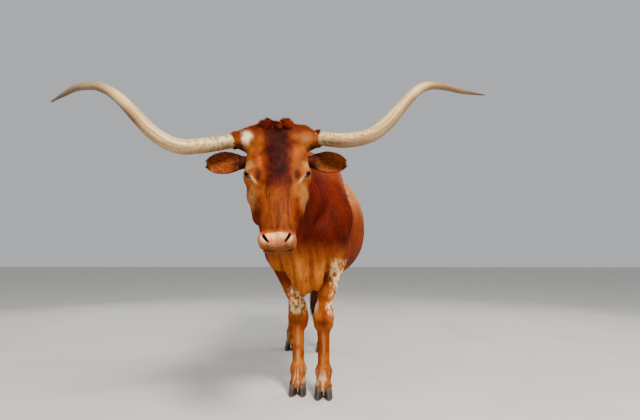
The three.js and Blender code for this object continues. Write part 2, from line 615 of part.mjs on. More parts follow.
// Legs, each split into an upper and a lower length above flat hoof tops
function leg(name, side, middle, lo, hi, cell, split, upperName) {
  const [x0, x1] = [BETWEEN_LEGS / 2, hi[0]].map((x) => middle + side * x).sort((a, b) => a - b);
  const whole = solidFromField(flesh, [x0 - 30, lo[1], 10], [x1 + 30, hi[1], hi[2] + 30], cell);
  trunkFlesh = trunkFlesh.subtract(block([x0 - GAP / 2, lo[1], 0], [x1 + GAP / 2, hi[1], hi[2] + GAP / 2]));
  const upper = block([x0 + GAP / 2, lo[1], split + GAP / 2], [x1 - GAP / 2, hi[1], hi[2] - GAP / 2]);
  const lower = block([x0 + GAP / 2, lo[1], SOLE_TOP + GAP], [x1 - GAP / 2, hi[1], split - GAP / 2]);
  node(name + upperName, whole.intersect(upper), COAT);
  return whole.intersect(lower);
}

// Hooves: two claws to a foot, flat on the ground and flat on top
const CLAW = { rows: 12, length: 62, width: 50, cleft: 3, lean: 14, heights: [0, 5, 34, SOLE_TOP] };
function claw(foot, inner) {
  return loft(
    CLAW.heights.map((z) => {
      const t = z / SOLE_TOP;
      const ring = [];
      for (let k = 0; k < CLAW.rows; k++) {
        const a = (k / CLAW.rows) * 2 * Math.PI;
        const toe = Math.cos(a) > 0 ? 1.18 : 0.88;
        const size = mix(1, 0.84, t) * (z === 0 ? 0.95 : 1);
        const y = -Math.cos(a) * CLAW.length * size * toe;
        const round = 0.5 + 0.5 * Math.sin(a) * Math.abs(Math.sin(a)) ** 0.2;
        const x = CLAW.cleft + round * CLAW.width * mix(1, 0.9, t) + (Math.cos(a) > 0 ? 4 * Math.cos(a) * (1 - t) : 0);
        ring.push(vec(foot.x + inner * x, foot.y - 26 + y + CLAW.lean * t, z));
      }
      return ring;
    }),
  );
}
function dewclaw(foot, across, back) {
  const rings = [];
  const root = vec(foot.x + across * 21, foot.y + back + GAP, FETLOCK_HEIGHT - 14);
  for (const [t, size] of [[0, 1], [0.6, 0.85], [1, 0.45]]) {
    const ring = [];
    for (let k = 0; k < 6; k++) {
      const a = (k / 6) * 2 * Math.PI;
      ring.push(vec(root.x + Math.cos(a) * 13 * size, root.y + t * 22, root.z - t * 12 + Math.sin(a) * 17 * size));
    }
    rings.push(ring);
  }
  return loft(rings);
}
function foot(name, lower, place, back) {
  let flesh = lower;
  for (const [where, across] of [["outer", Math.sign(place.out)], ["inner", -Math.sign(place.out)]]) {
    node(name + "_claw_" + where, claw(place, across), HOOF);
    node(name + "_dewclaw_" + where, dewclaw(place, across, back), HOOF);
    const x = place.x + across * 21;
    const lo = [x - 21, place.y + back, FETLOCK_HEIGHT - 44];
    flesh = flesh.subtract(block(lo, [x + 21, place.y + back + 60, FETLOCK_HEIGHT + 12]));
  }
  return flesh;
}
for (const [name, side] of Object.entries(SIDES)) {
  const fore = leg(name, side, 0, [0, -760, 20], [330, -430, FORE_TOP], [26, 28, 46], FORE_SPLIT, "_forearm");
  node(name + "_fore_cannon", foot(name + "_fore", fore, { ...FORE_FEET[name], out: side }, 46), COAT);
  const hind = leg(name, side, HIP_SWAY, [0, 330, 20], [340, 980, HIND_TOP], [34, 38, 54], HIND_SPLIT, "_gaskin");
  node(name + "_hind_cannon", foot(name + "_hind", hind, { ...HIND_FEET[name], out: side }, 80), COAT);
}

// Tail: two lengths and the switch, hanging clear behind the thighs
const TAIL_ROOT_Y = 905;
const TAIL = [
  [HIP_SWAY, TAIL_ROOT_Y, 1346, 36],
  [HIP_SWAY, 946, 1322, 31],
  [HIP_SWAY + 2, 974, 1240, 25],
  [HIP_SWAY + 4, 978, 1100, 21],
  [HIP_SWAY + 6, 974, 940, 18],
  [HIP_SWAY + 8, 968, 780, 16],
  [HIP_SWAY + 8, 964, 640, 15],
];
function tailLength(from, to, rows, first) {
  const rings = [];
  for (let r = 0; r <= rows; r++) {
    const t = mix(from, to, r / rows);
    const [x, y, z, radius] = smooth(TAIL, t);
    const [, y1, z1] = smooth(TAIL, t + 0.01);
    const [, y0, z0] = smooth(TAIL, t - 0.01);
    const w = r === 0 ? first : vec(0, y1 - y0, z1 - z0).normalize();
    const v = w.clone().cross(X);
    const ring = [];
    for (let k = 0; k < 8; k++) {
      const a = (k / 8) * 2 * Math.PI;
      ring.push(vec(x, y, z).addScaledVector(X, Math.cos(a) * radius).addScaledVector(v, Math.sin(a) * radius));
    }
    rings.push(ring);
  }
  return loft(rings);
}
const TAIL_SPLIT = 0.55;
const splitAt = smooth(TAIL, TAIL_SPLIT);
const tailEnd = TAIL[TAIL.length - 1];
const tailRoom = block([HIP_SWAY - 45, TAIL_ROOT_Y - GAP, 1296], [HIP_SWAY + 45, TAIL_ROOT_Y + 140, 1460]);
trunkFlesh = trunkFlesh.subtract(tailRoom);
const wholeTail = tailLength(0, 1, 11, Y.clone());
const below = (z) => block([-400, 700, -400], [400, 1300, z - GAP / 2]);
const above = (z) => block([-400, 700, z + GAP / 2], [400, 1300, 2000]);
node("tail_upper", wholeTail.intersect(above(splitAt[2])), COAT);
node("tail_lower", wholeTail.intersect(below(splitAt[2])).intersect(above(tailEnd[2] + 20)), COAT);
const SWITCH = { top: tailEnd[2] + 20 - GAP / 2, rows: 6, tip: 190, coreTip: 400, locks: 14 };
const coreRings = [];
for (let r = 0; r <= SWITCH.rows; r++) {
  const t = r / SWITCH.rows;
  const size = mix(15, 6, t) + 9 * Math.sin(Math.PI * t ** 0.8);
  const ring = [];
  for (let k = 0; k < 8; k++) {
    const a = (k / 8) * 2 * Math.PI;
    const z = mix(SWITCH.top, SWITCH.coreTip, t);
    ring.push(vec(tailEnd[0] + Math.cos(a) * size, tailEnd[1] + 2 + Math.sin(a) * size, z));
  }
  coreRings.push(ring);
}
let switchHair = loft(coreRings);
for (let i = 0; i < SWITCH.locks; i++) {
  const a = (i * 0.618 + 0.05 * draw()) * 2 * Math.PI;
  const away = vec(Math.cos(a), Math.sin(a), 0);
  const level = (i + 0.5) / SWITCH.locks;
  const z = mix(SWITCH.top - 22, SWITCH.coreTip + 30, level);
  const root = vec(tailEnd[0], tailEnd[1] + 2, z).addScaledVector(away, 6);
  const out = vec(0, 0, -1).addScaledVector(away, 0.26 + 0.1 * draw()).normalize();
  const hang = vec(0, 0, -1).addScaledVector(away, mix(-0.02, -0.1, level)).normalize();
  const length = Math.min(240 + 60 * draw(), z - SWITCH.tip);
  switchHair = switchHair.add(lock({ root, leave: out, end: hang, face: away, length, width: 26, thick: 10 }));
}
node("tail_switch", switchHair, COAT);
node("trunk", trunkFlesh, COAT);

// The frame's origin is under the middle of the whole animal.
const whole = new THREE.Box3().setFromObject(group);
group.position.set(-(whole.min.x + whole.max.x) / 2, -(whole.min.y + whole.max.y) / 2, -whole.min.z);
group.updateMatrixWorld(true);
group.userData.shift = group.position.toArray();

export default group;
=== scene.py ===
import json
import math

import bmesh
import bpy
import numpy as np
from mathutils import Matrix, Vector

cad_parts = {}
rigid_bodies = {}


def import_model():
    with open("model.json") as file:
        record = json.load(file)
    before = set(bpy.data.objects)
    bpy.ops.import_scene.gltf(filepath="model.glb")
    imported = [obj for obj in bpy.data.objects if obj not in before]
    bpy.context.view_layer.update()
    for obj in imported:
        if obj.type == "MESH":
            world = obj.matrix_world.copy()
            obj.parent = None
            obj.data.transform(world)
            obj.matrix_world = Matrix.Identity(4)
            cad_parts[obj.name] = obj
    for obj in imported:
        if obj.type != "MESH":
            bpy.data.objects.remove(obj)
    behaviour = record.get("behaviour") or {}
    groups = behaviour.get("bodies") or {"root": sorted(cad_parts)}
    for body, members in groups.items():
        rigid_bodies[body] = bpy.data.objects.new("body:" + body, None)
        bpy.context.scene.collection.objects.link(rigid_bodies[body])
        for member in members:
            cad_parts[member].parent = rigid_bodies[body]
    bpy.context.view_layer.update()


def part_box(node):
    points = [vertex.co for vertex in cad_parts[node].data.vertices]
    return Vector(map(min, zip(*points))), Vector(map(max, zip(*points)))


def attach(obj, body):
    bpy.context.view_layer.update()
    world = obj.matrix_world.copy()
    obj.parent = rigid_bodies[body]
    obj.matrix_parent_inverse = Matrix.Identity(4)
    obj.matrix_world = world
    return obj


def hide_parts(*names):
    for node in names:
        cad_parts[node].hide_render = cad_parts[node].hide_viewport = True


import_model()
RNG = np.random.default_rng(7)

# Driving sizes of the animal, in millimetres from the point midway under its body, as in the part's source
KNEE_HEIGHT = 442
HOCK_HEIGHT = 545
FETLOCK_HEIGHT = 136
CORONET_HEIGHT = 66
FORE_FEET = {1: (100, -605), -1: (-53, -548)}
HIND_FEET = {1: (44, 640), -1: (-228, 700)}
HIP_SWAY = -46
SIDES = (1, -1)
WORDS = {1: "left", -1: "right"}
X, Y, Z = np.eye(3)


def vec(x, y, z):
    return np.array([x, y, z], float)


def unit(v):
    return np.asarray(v, float) / np.linalg.norm(v)


def turned(a, b, degrees):
    return a * math.cos(math.radians(degrees)) + b * math.sin(math.radians(degrees))


def units(v):
    return v / np.maximum(np.linalg.norm(v, axis=1, keepdims=True), 1e-9)


def ramp(lo, hi, x):
    """0 up to lo and 1 from hi on, or the other way round where lo is the larger."""
    t = np.clip((x - lo) / (hi - lo), 0, 1)
    return t * t * (3 - 2 * t)


# The head's own measures: across to its left, down the face, and out of the forehead
POLL = vec(-76, -1386, 1390)
LEVEL = turned(X, Y, 8)
FACING = turned(-Y, X, 8)
ACROSS = turned(LEVEL, Z, 1.5)
CROWN = turned(Z, -LEVEL, 1.5)
DOWN_FACE = turned(-CROWN, FACING, 16)
OUT_FACE = turned(FACING, CROWN, 16)
HEAD_AXES = np.array([ACROSS, DOWN_FACE, OUT_FACE])


def head(across, down, out):
    return POLL + across * ACROSS + down * DOWN_FACE + out * OUT_FACE


def head_turn(across, down, out):
    return unit(across * ACROSS + down * DOWN_FACE + out * OUT_FACE)


EYE_RADIUS = 20
HORN_ROOT = 176
EYES = {side: head(side * 113, 252, -50) for side in SIDES}
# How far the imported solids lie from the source's own place, read from one of them
EYE_BOX = np.array(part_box("eye_left"))
SHIFT = EYE_BOX.mean(0) - EYES[1] / 1000
SHIFT[2] = 0


# The flesh as a field of distances: muscles are tapered capsules of elliptical section that melt together
FORMS = []
REACH = 30
CORE = 0.02


def add_form(start, end, axes, length, first, last, cap, blend):
    reach = max(*first, *last) + blend + REACH
    lo, hi = np.minimum(start, end) - reach, np.maximum(start, end) + reach
    u, v, w = axes
    form = dict(o=start, u=u, v=v, w=w, length=length, a=first, b=last, cap=cap)
    FORMS.append(dict(form, blend=blend, lo=lo, hi=hi))


def muscle(start, end, across, first, last, blend):
    w = end - start
    length = np.linalg.norm(w)
    w = w / length
    u = unit(across - across.dot(w) * w)
    add_form(start, end, (u, np.cross(w, u), w), length, first, last, None, blend)


def lump(centre, radii, blend, axes=np.eye(3)):
    add_form(centre, centre, axes, 0, radii, radii, radii[2], blend)


def from_section(k, far, middle):
    """Distance outside a section, k times its size away from its middle and far from it in millimetres."""
    return np.where(k < CORE, -middle, far * (1 - 1 / np.maximum(k, CORE)))


def form_distance(form, x, y, z):
    dx, dy, dz = x - form["o"][0], y - form["o"][1], z - form["o"][2]
    qu, qv, along = (dx * form[k][0] + dy * form[k][1] + dz * form[k][2] for k in "uvw")
    length = form["length"]
    t = np.clip(along / length, 0, 1) if length else np.zeros_like(along)
    qw = along - t * length
    ru = form["a"][0] + (form["b"][0] - form["a"][0]) * t
    rv = form["a"][1] + (form["b"][1] - form["a"][1]) * t
    rw = form["cap"] if form["cap"] else np.sqrt(ru * rv)
    k = np.sqrt((qu / ru) ** 2 + (qv / rv) ** 2 + (qw / rw) ** 2)
    far = np.sqrt(qu * qu + qv * qv + qw * qw)
    return from_section(k, far, np.minimum(ru, rv))


def soft_min(a, b, k):
    h = np.maximum(k - np.abs(a - b), 0) / k
    return np.minimum(a, b) - h * h * k / 4


def melted(form, d, x, y, z):
    return soft_min(d, form_distance(form, x, y, z), form["blend"])


# The trunk is a hull drawn through stations along Y, each with its y, middle, top line, widest level,
# belly line and half width
TRUNK = np.array([
    [-800, 0, 1200, 960, 700, 150],
    [-700, 0, 1310, 970, 670, 205],
    [-560, 0, 1392, 985, 672, 236],
    [-400, 0, 1408, 1000, 672, 280],
    [-200, 0, 1400, 1000, 648, 342],
    [60, 0, 1400, 995, 622, 380],
    [260, -6, 1406, 1010, 650, 364],
    [440, -20, 1418, 1060, 722, 315],
    [620, -36, 1418, 1130, 810, 254],
    [800, HIP_SWAY, 1372, 1160, 920, 170],
], float)
TRUNK_CAP = 70
TRUNK_LO = (-460, -960, 520)
TRUNK_HI = (460, 960, 1520)
ROOF = 2.3
BELLY = 2.15


def trunk_distance(x, y, z):
    ys = TRUNK[:, 0]
    last = len(ys) - 1
    yc = np.clip(y, ys[0], ys[-1])
    i = np.clip(np.searchsorted(ys, yc, side="left") - 1, 0, last - 1)
    h0, h1, h2, h3 = np.maximum(i - 1, 0), i, i + 1, np.minimum(i + 2, last)
    span = ys[h2] - ys[h1]
    t = (yc - ys[h1]) / span

    def curve(column):
        c = TRUNK[:, column]
        ma = (c[h2] - c[h0]) / (ys[h2] - ys[h0]) * span
        mb = (c[h3] - c[h1]) / (ys[h3] - ys[h1]) * span
        t2, t3 = t * t, t * t * t
        near = (2 * t3 - 3 * t2 + 1) * c[h1] + (t3 - 2 * t2 + t) * ma
        return near + (3 * t2 - 2 * t3) * c[h2] + (t3 - t2) * mb

    mid, top, wide, floor, half = (curve(c) for c in (1, 2, 3, 4, 5))
    x = x - mid
    high = z > wide
    rise = np.where(high, top - wide, wide - floor)
    n = np.where(high, ROOF, BELLY)
    section = ((np.abs(x) / half) ** n + (np.abs(z - wide) / rise) ** n) ** (1 / n)
    k = np.sqrt(section**2 + ((y - yc) / TRUNK_CAP) ** 2)
    far = np.sqrt(x * x + (z - wide) ** 2 + (y - yc) ** 2)
    return from_section(k, far, half)


def body_forms():
    """Neck, dewlap, brisket, withers, croup and the four legs, with the measures of the part's source."""
    muscle(head(0, 118, -150), vec(0, -620, 1290), X, (88, 104), (122, 138), 60)
    muscle(head(0, 205, -185), vec(0, -700, 1085), X, (92, 120), (180, 222), 70)
    muscle(head(0, 245, -220), vec(-10, -880, 850), X, (56, 74), (96, 106), 60)
    muscle(head(0, 315, -235), vec(-20, -905, 730), X, (18, 40), (34, 66), 50)
    muscle(vec(2, -830, 800), vec(14, -800, 676), X, (122, 96), (88, 64), 60)
    muscle(vec(-6, -850, 700), vec(-10, -828, 614), X, (54, 52), (21, 32), 40)
    muscle(vec(48, -800, 700), vec(58, -770, 652), X, (48, 50), (32, 38), 34)
    muscle(vec(0, -800, 668), vec(0, -660, 660), X, (44, 42), (60, 44), 50)
    muscle(vec(0, -520, 1384), vec(0, -330, 1372), X, (60, 50), (62, 46), 80)
    muscle(vec(HIP_SWAY, 420, 1372), vec(HIP_SWAY, 850, 1348), X, (120, 50), (46, 44), 70)
    lump(vec(0, 130, 626), (42, 130, 34), 60)
    lump(vec(HIP_SWAY, 600, 800), (50, 66, 50), 50)
    for side in SIDES:
        foreleg(side)
        hindleg(side)


def foreleg(side):
    def at(x, y, z):
        return vec(side * x, y, z)

    def front(x, y, z):
        return vec(FORE_FEET[side][0] + side * x, FORE_FEET[side][1] + y, z)

    muscle(at(128, -440, 1344), at(194, -720, 1030), X, (66, 110), (76, 110), 60)
    muscle(at(176, -800, 985), at(196, -560, 850), X, (76, 96), (64, 100), 60)
    muscle(at(180, -500, 950), at(184, -470, 810), X, (60, 70), (44, 50), 45)
    muscle(at(100, -850, 910), at(150, -720, 790), X, (70, 90), (64, 76), 60)
    muscle(at(180, -560, 840), front(4, 8, 520), X, (70, 90), (46, 47), 40)
    muscle(at(186, -600, 800), front(24, -16, 590), X, (46, 48), (34, 36), 40)
    muscle(front(0, 0, KNEE_HEIGHT + 34), front(-1, -2, KNEE_HEIGHT - 30), X, (57, 50), (60, 48), 28)
    lump(front(-2, -12, KNEE_HEIGHT + 2), (60, 44, 46), 20)
    lump(front(0, 24, KNEE_HEIGHT), (42, 40, 30), 24)
    muscle(front(0, 4, KNEE_HEIGHT - 60), front(0, 8, FETLOCK_HEIGHT + 20), X, (37, 38), (36, 36), 26)
    muscle(front(0, 26, KNEE_HEIGHT - 70), front(0, 28, FETLOCK_HEIGHT + 20), X, (20, 20), (20, 20), 18)
    lump(front(0, 8, FETLOCK_HEIGHT), (48, 46, 44), 26)
    muscle(front(0, 4, FETLOCK_HEIGHT - 6), front(0, -20, CORONET_HEIGHT - 10), X, (42, 39), (46, 46), 22)


def hindleg(side):
    def hip(x, y, z):
        return vec(HIP_SWAY + side * x, y, z)

    def rear(x, y, z):
        return vec(HIND_FEET[side][0] + side * x, HIND_FEET[side][1] + y, z)

    lump(hip(232, 545, 1330), (54, 70, 44), 80)
    lump(hip(112, 868, 1262), (46, 50, 52), 60)
    muscle(hip(225, 540, 1310), hip(108, 860, 1255), X, (54, 64), (50, 56), 80)
    muscle(hip(180, 640, 1180), hip(200, 500, 880), X, (82, 180), (64, 104), 70)
    muscle(hip(132, 800, 1180), hip(150, 760, 870), X, (84, 104), (62, 92), 60)
    lump(hip(190, 420, 835), (54, 68, 74), 60)
    muscle(hip(115, 690, 1000), hip(120, 660, 790), X, (74, 120), (54, 88), 60)
    muscle(hip(178, 510, 830), rear(10, 96, HOCK_HEIGHT + 14), X, (62, 98), (36, 52), 50)
    muscle(hip(148, 760, 850), rear(10, 154, HOCK_HEIGHT + 66), X, (44, 62), (20, 24), 46)
    muscle(hip(160, 650, 800), rear(10, 124, HOCK_HEIGHT + 90), X, (34, 64), (18, 30), 44)
    lump(rear(8, 104, HOCK_HEIGHT - 22), (40, 52, 64), 30)
    muscle(rear(8, 156, HOCK_HEIGHT + 55), rear(8, 134, HOCK_HEIGHT - 50), X, (22, 24), (24, 26), 24)
    muscle(rear(6, 108, HOCK_HEIGHT - 60), rear(0, 48, FETLOCK_HEIGHT + 20), X, (34, 40), (34, 37), 26)
    muscle(rear(6, 130, HOCK_HEIGHT - 70), rear(0, 66, FETLOCK_HEIGHT + 20), X, (19, 21), (20, 21), 18)
    lump(rear(0, 42, FETLOCK_HEIGHT), (45, 46, 45), 26)
    muscle(rear(0, 34, FETLOCK_HEIGHT - 6), rear(0, -10, CORONET_HEIGHT - 10), X, (39, 38), (45, 46), 22)


def head_forms():
    """Skull, forehead, poll, nose, muzzle, lips and throat."""
    def skull(start, end, first, last, blend):
        muscle(head(*start), head(*end), ACROSS, first, last, blend)

    skull((0, 120, -130), (0, 290, -126), (106, 92), (112, 96), 40)
    skull((0, 92, -66), (0, 300, -54), (112, 46), (114, 42), 40)
    skull((0, 310, -72), (0, 520, -40), (100, 56), (54, 40), 40)
    skull((0, 330, -104), (0, 515, -66), (108, 66), (72, 48), 40)
    skull((0, 290, -190), (0, 530, -104), (68, 54), (46, 32), 40)
    lump(head(0, 62, -78), (138, 80, 58), 40, HEAD_AXES)
    muscle(head(-104, 46, -80), head(112, 36, -80), OUT_FACE, (52, 56), (52, 56), 40)
    lump(head(-6, 546, -38), (80, 48, 56), 30, HEAD_AXES)
    lump(head(-6, 556, -58), (68, 26, 44), 22, HEAD_AXES)
    lump(head(-4, 550, -98), (46, 34, 26), 14, HEAD_AXES)
    for side in SIDES:
        def at(across, down, out):
            return head(side * across, down, out)

        muscle(at(70, 60, -76), at(HORN_ROOT - 2, 66, -56), OUT_FACE, (62, 60), (40, 40), 36)
        muscle(at(92, 146, -116), at(140, 152, -114), OUT_FACE, (36, 40), (24, 27), 30)
        muscle(at(100, 160, -70), at(108, 250, -62), OUT_FACE, (42, 34), (40, 32), 30)
        lump(at(114, 244, -62), (28, 40, 36), 24, HEAD_AXES)
        lump(at(102, 312, -98), (30, 46, 34), 30, HEAD_AXES)
        muscle(at(80, 284, -158), at(78, 396, -130), OUT_FACE, (84, 44), (50, 34), 36)
        muscle(at(66, 232, -232), at(40, 490, -116), OUT_FACE, (36, 28), (24, 20), 34)
        lump(at(50 - 7 * side, 548, -6), (29, 29, 27), 20, HEAD_AXES)


TAIL_ROOT_Y = 905
TAIL = np.array([
    [HIP_SWAY, TAIL_ROOT_Y - 40, 1352, 38],
    [HIP_SWAY, TAIL_ROOT_Y, 1346, 36],
    [HIP_SWAY, 946, 1322, 31],
    [HIP_SWAY + 2, 974, 1240, 25],
    [HIP_SWAY + 4, 978, 1100, 21],
    [HIP_SWAY + 6, 974, 940, 18],
    [HIP_SWAY + 8, 968, 780, 16],
    [HIP_SWAY + 8, 964, 600, 14],
], float)


def tail_forms():
    for a, b in zip(TAIL, TAIL[1:]):
        muscle(a[:3], b[:3], X, (a[3], a[3]), (b[3], b[3]), 6)


body_forms()
head_forms()
tail_forms()


# The face: lids, muzzle with its pad and nostrils, mouth
LID_RADIUS = 25
LID_GAP = (22, 7)
LID_ARCH = 2.5
MUZZLE = -9
MUZZLE_DEPTH = 62
PAD_LEVEL = 547
NOSTRIL = (44, 544)
NOSTRIL_SLANT = (0.503, 0.864)
NOSTRIL_BEND = 0.008
MOUTH = 591
SWIRL_LEVEL = 165
GAZE = {s: head_turn(s * 0.68, -0.05, 0.72) for s in SIDES}


def eye_frame(side):
    """The slit's length towards the tear duct, the way up to the brow, and the way the eye looks."""
    gaze = GAZE[side]
    slant = head_turn(side * -0.35, 0.62, 0.45)
    along = unit(slant - slant.dot(gaze) * gaze)
    brow = np.cross(gaze, along)
    if brow.dot(DOWN_FACE) > 0:
        brow = -brow
    return np.array([along, brow, gaze])


EYE_AXES = {s: eye_frame(s) for s in SIDES}


def in_head(x, y, z):
    dx, dy, dz = x - POLL[0], y - POLL[1], z - POLL[2]
    return tuple(dx * a[0] + dy * a[1] + dz * a[2] for a in HEAD_AXES)


def in_eye(side, x, y, z):
    dx, dy, dz = x - EYES[side][0], y - EYES[side][1], z - EYES[side][2]
    p, q, r = (dx * k[0] + dy * k[1] + dz * k[2] for k in EYE_AXES[side])
    return p, q, r, np.sqrt(dx * dx + dy * dy + dz * dz)


def lid_gap(p, q):
    """Distance beyond the almond opening between the lids."""
    arch = np.maximum(1 - (p / LID_GAP[0]) ** 2, 0)
    return np.maximum(np.abs(q - LID_ARCH * arch) - LID_GAP[1] * np.sqrt(arch), np.abs(p) - LID_GAP[0])


def coat_depth(x, y, z):
    """How far the skin lies under the tips of the coat."""
    _, dn, o = in_head(x, y, z)
    near_head = ramp(-1050, -1180, y)
    crest = ramp(120, 20, dn) * ramp(-260, -200, o)
    return 6 - 3.5 * near_head + 5 * near_head * crest - 3 * ramp(700, 500, z) * (1 - near_head)


def bulging_lids(d, x, y, z):
    for side in SIDES:
        p, q, r, ball = in_eye(side, x, y, z)
        d = soft_min(d, ball - LID_RADIUS, 7)
        fold = np.exp(-(((ball - 31) / 4) ** 2)) + 0.7 * np.exp(-(((ball - 40) / 3.5) ** 2))
        d = d + 1.7 * fold * ramp(4, 14, np.abs(q)) * ramp(-4, 6, r)
        opening = np.maximum(np.maximum(lid_gap(p, q), 8 - r), ball - 40)
        d = np.maximum(d, np.minimum(-opening, ball - (EYE_RADIUS - 1)))
    return d


def in_nostril(side, a, dn):
    """The way along the slit of a nostril from its middle, and the way across it."""
    across, down = (a - MUZZLE) * side - NOSTRIL[0], dn - NOSTRIL[1]
    sine, cosine = NOSTRIL_SLANT
    return cosine * down - sine * across, cosine * across + sine * down


def nostrils(d, a, dn, o):
    for side in SIDES:
        along, wide = in_nostril(side, a, dn)
        wide = wide + NOSTRIL_BEND * along * along - 2
        narrow = 5.6 - 0.07 * along
        pit = np.sqrt((along / 23) ** 2 + (wide / narrow) ** 2 + ((o - 14) / 24) ** 2)
        d = -soft_min(-d, (pit - 1) * 8, 4)
        wing = np.exp(-(((wide - narrow - 7) / 5) ** 2) - (along / 20) ** 4)
        d = d - 2.0 * wing * ramp(-30, -5, o)
    return d


def mouth_line(a, dn, o, depth, width):
    """The groove between the lips, which rises from the front of the muzzle to its sides."""
    turn = np.arctan2(a, o + MUZZLE_DEPTH)
    level = MOUTH - 44 * np.sin(turn / 2) ** 2
    near = ramp(2.3, 1.9, np.abs(turn)) * ramp(30, 50, np.hypot(a, o + MUZZLE_DEPTH))
    return depth * np.exp(-(((dn - level) / width) ** 2)) * near


def face_folds(a, dn, o):
    """Wrinkles on the bridge of the nose, curls of the forehead, the cheek's edge and creases of the lips."""
    front = ramp(-110, -60, o)
    bridge = ramp(250, 320, dn) * ramp(500, 430, dn) * ramp(96, 70, np.abs(a))
    wrinkle = 0.8 * np.sin(a / 3.6 + 0.6 * np.sin(dn / 24)) * np.sin(dn / 47 + a / 30)
    radius, turn = np.hypot(a, dn - SWIRL_LEVEL), np.arctan2(dn - SWIRL_LEVEL, a)
    curl = 0.9 * np.sin(radius / 5.2 + 2.2 * turn) * np.exp(-(((radius - 70) / 60) ** 2))
    cheek = 2.6 * np.exp(-(((dn - 340 - 0.5 * (np.abs(a) - 100)) / 16) ** 2)) * ramp(-60, -120, o)
    cheek = cheek * ramp(-250, -200, o)
    lips = 1.1 * np.sin(np.arctan2(a, o + MUZZLE_DEPTH) * 24) * np.exp(-(((dn - 566) / 8) ** 2))
    return front * (bridge * wrinkle + curl) + cheek + lips * ramp(-60, -30, o)


def pleats(x, z):
    return np.sin(x / 13.5 + 0.5 * np.sin(z / 46) + z / 160)


def body_folds(x, y, z):
    """Loose skin of the throat, dewlap and brisket, ribs, and the hollow of the flank."""
    neck = ramp(-660, -860, y) * ramp(-1300, -1180, y)
    neck = neck * ramp(620, 760, z) * ramp(1330, 1180, z)
    run = 0.62 * y + 0.30 * z + 16 * np.sin(z / 64) + 0.12 * np.abs(x)
    fold = neck * (3.6 * np.sin(run / 15) + 2.0 * np.sin(run / 8.3 + x / 34))
    front = ramp(-700, -800, y) * ramp(1000, 850, z)
    fold = fold + front * (4.2 * pleats(x, z) + 1.8 * np.sin(x / 6.3 + z / 52))
    ribs = ramp(-150, 0, y) * ramp(400, 260, y)
    ribs = ribs * ramp(1300, 1150, z) * ramp(760, 900, z)
    fold = fold + ribs * 1.8 * np.sin((y + 0.25 * z) / 15)
    flank = np.exp(-(((y - 400) / 70) ** 2) - (((z - 1230) / 90) ** 2))
    leg = ramp(560, 420, z) * ramp(150, 200, z)
    groove = np.sin((x - FORE_FEET[1][0]) / 8.5) * np.sin((x - FORE_FEET[-1][0]) / 8.5)
    return fold + 9 * flank + leg * ramp(-200, -400, y) * 0.8 * groove


def skin_over(d, x, y, z):
    return d + coat_depth(x, y, z) + body_folds(x, y, z)


def face_over(d, x, y, z):
    a, dn, o = in_head(x, y, z)
    d = d + mouth_line(a, dn, o, 7, 3.6) + face_folds(a, dn, o)
    return nostrils(bulging_lids(d, x, y, z), a, dn, o)


FACE_LO = (-330, -1640, 700)
FACE_HI = (180, -1190, 1480)
FAR_OFF = 300.0


def windows(lines, lo, hi):
    return tuple(slice(*np.searchsorted(v, (a, b))) for v, a, b in zip(lines, lo, hi))


def field_on_grid(lines):
    """The skin's distance at each crossing of the grid lines, form by form inside its own window."""
    gx, gy, gz = np.meshgrid(*lines, indexing="ij", sparse=True)
    d = np.full(tuple(len(v) for v in lines), FAR_OFF)

    def work(lo, hi, change):
        s = windows(lines, lo, hi)
        d[s] = change(d[s], gx[s[0]], gy[:, s[1]], gz[:, :, s[2]])

    work(TRUNK_LO, TRUNK_HI, lambda d, x, y, z: trunk_distance(*np.broadcast_arrays(x, y, z)))
    for form in FORMS:
        work(form["lo"], form["hi"], lambda *at: melted(form, *at))
    d = skin_over(d, gx, gy, gz)
    work(FACE_LO, FACE_HI, face_over)
    return d


def field_at(p):
    x, y, z = p.T
    d = np.full(len(p), FAR_OFF)
    near = np.all((p > TRUNK_LO) & (p < TRUNK_HI), axis=1)
    d[near] = trunk_distance(x[near], y[near], z[near])
    for form in FORMS:
        near = np.all((p > form["lo"]) & (p < form["hi"]), axis=1)
        if near.any():
            d[near] = melted(form, d[near], x[near], y[near], z[near])
    d = skin_over(d, x, y, z)
    face = np.all((p > FACE_LO) & (p < FACE_HI), axis=1)
    d[face] = face_over(d[face], x[face], y[face], z[face])
    return d


def gradient_at(p, step=0.8):
    g = np.empty_like(p)
    for k in range(3):
        e = np.zeros(3)
        e[k] = step
        g[:, k] = (field_at(p + e) - field_at(p - e)) / (2 * step)
    return g


def settle(p, steps, most):
    """Moves points onto the skin, each step no further than the given length."""
    for _ in range(steps):
        d = field_at(p)
        g = gradient_at(p)
        move = g * (-d / np.maximum((g * g).sum(1), 0.15))[:, None]
        far = np.linalg.norm(move, axis=1)
        p = p + move * np.minimum(1, most / np.maximum(far, 1e-6))[:, None]
    return p


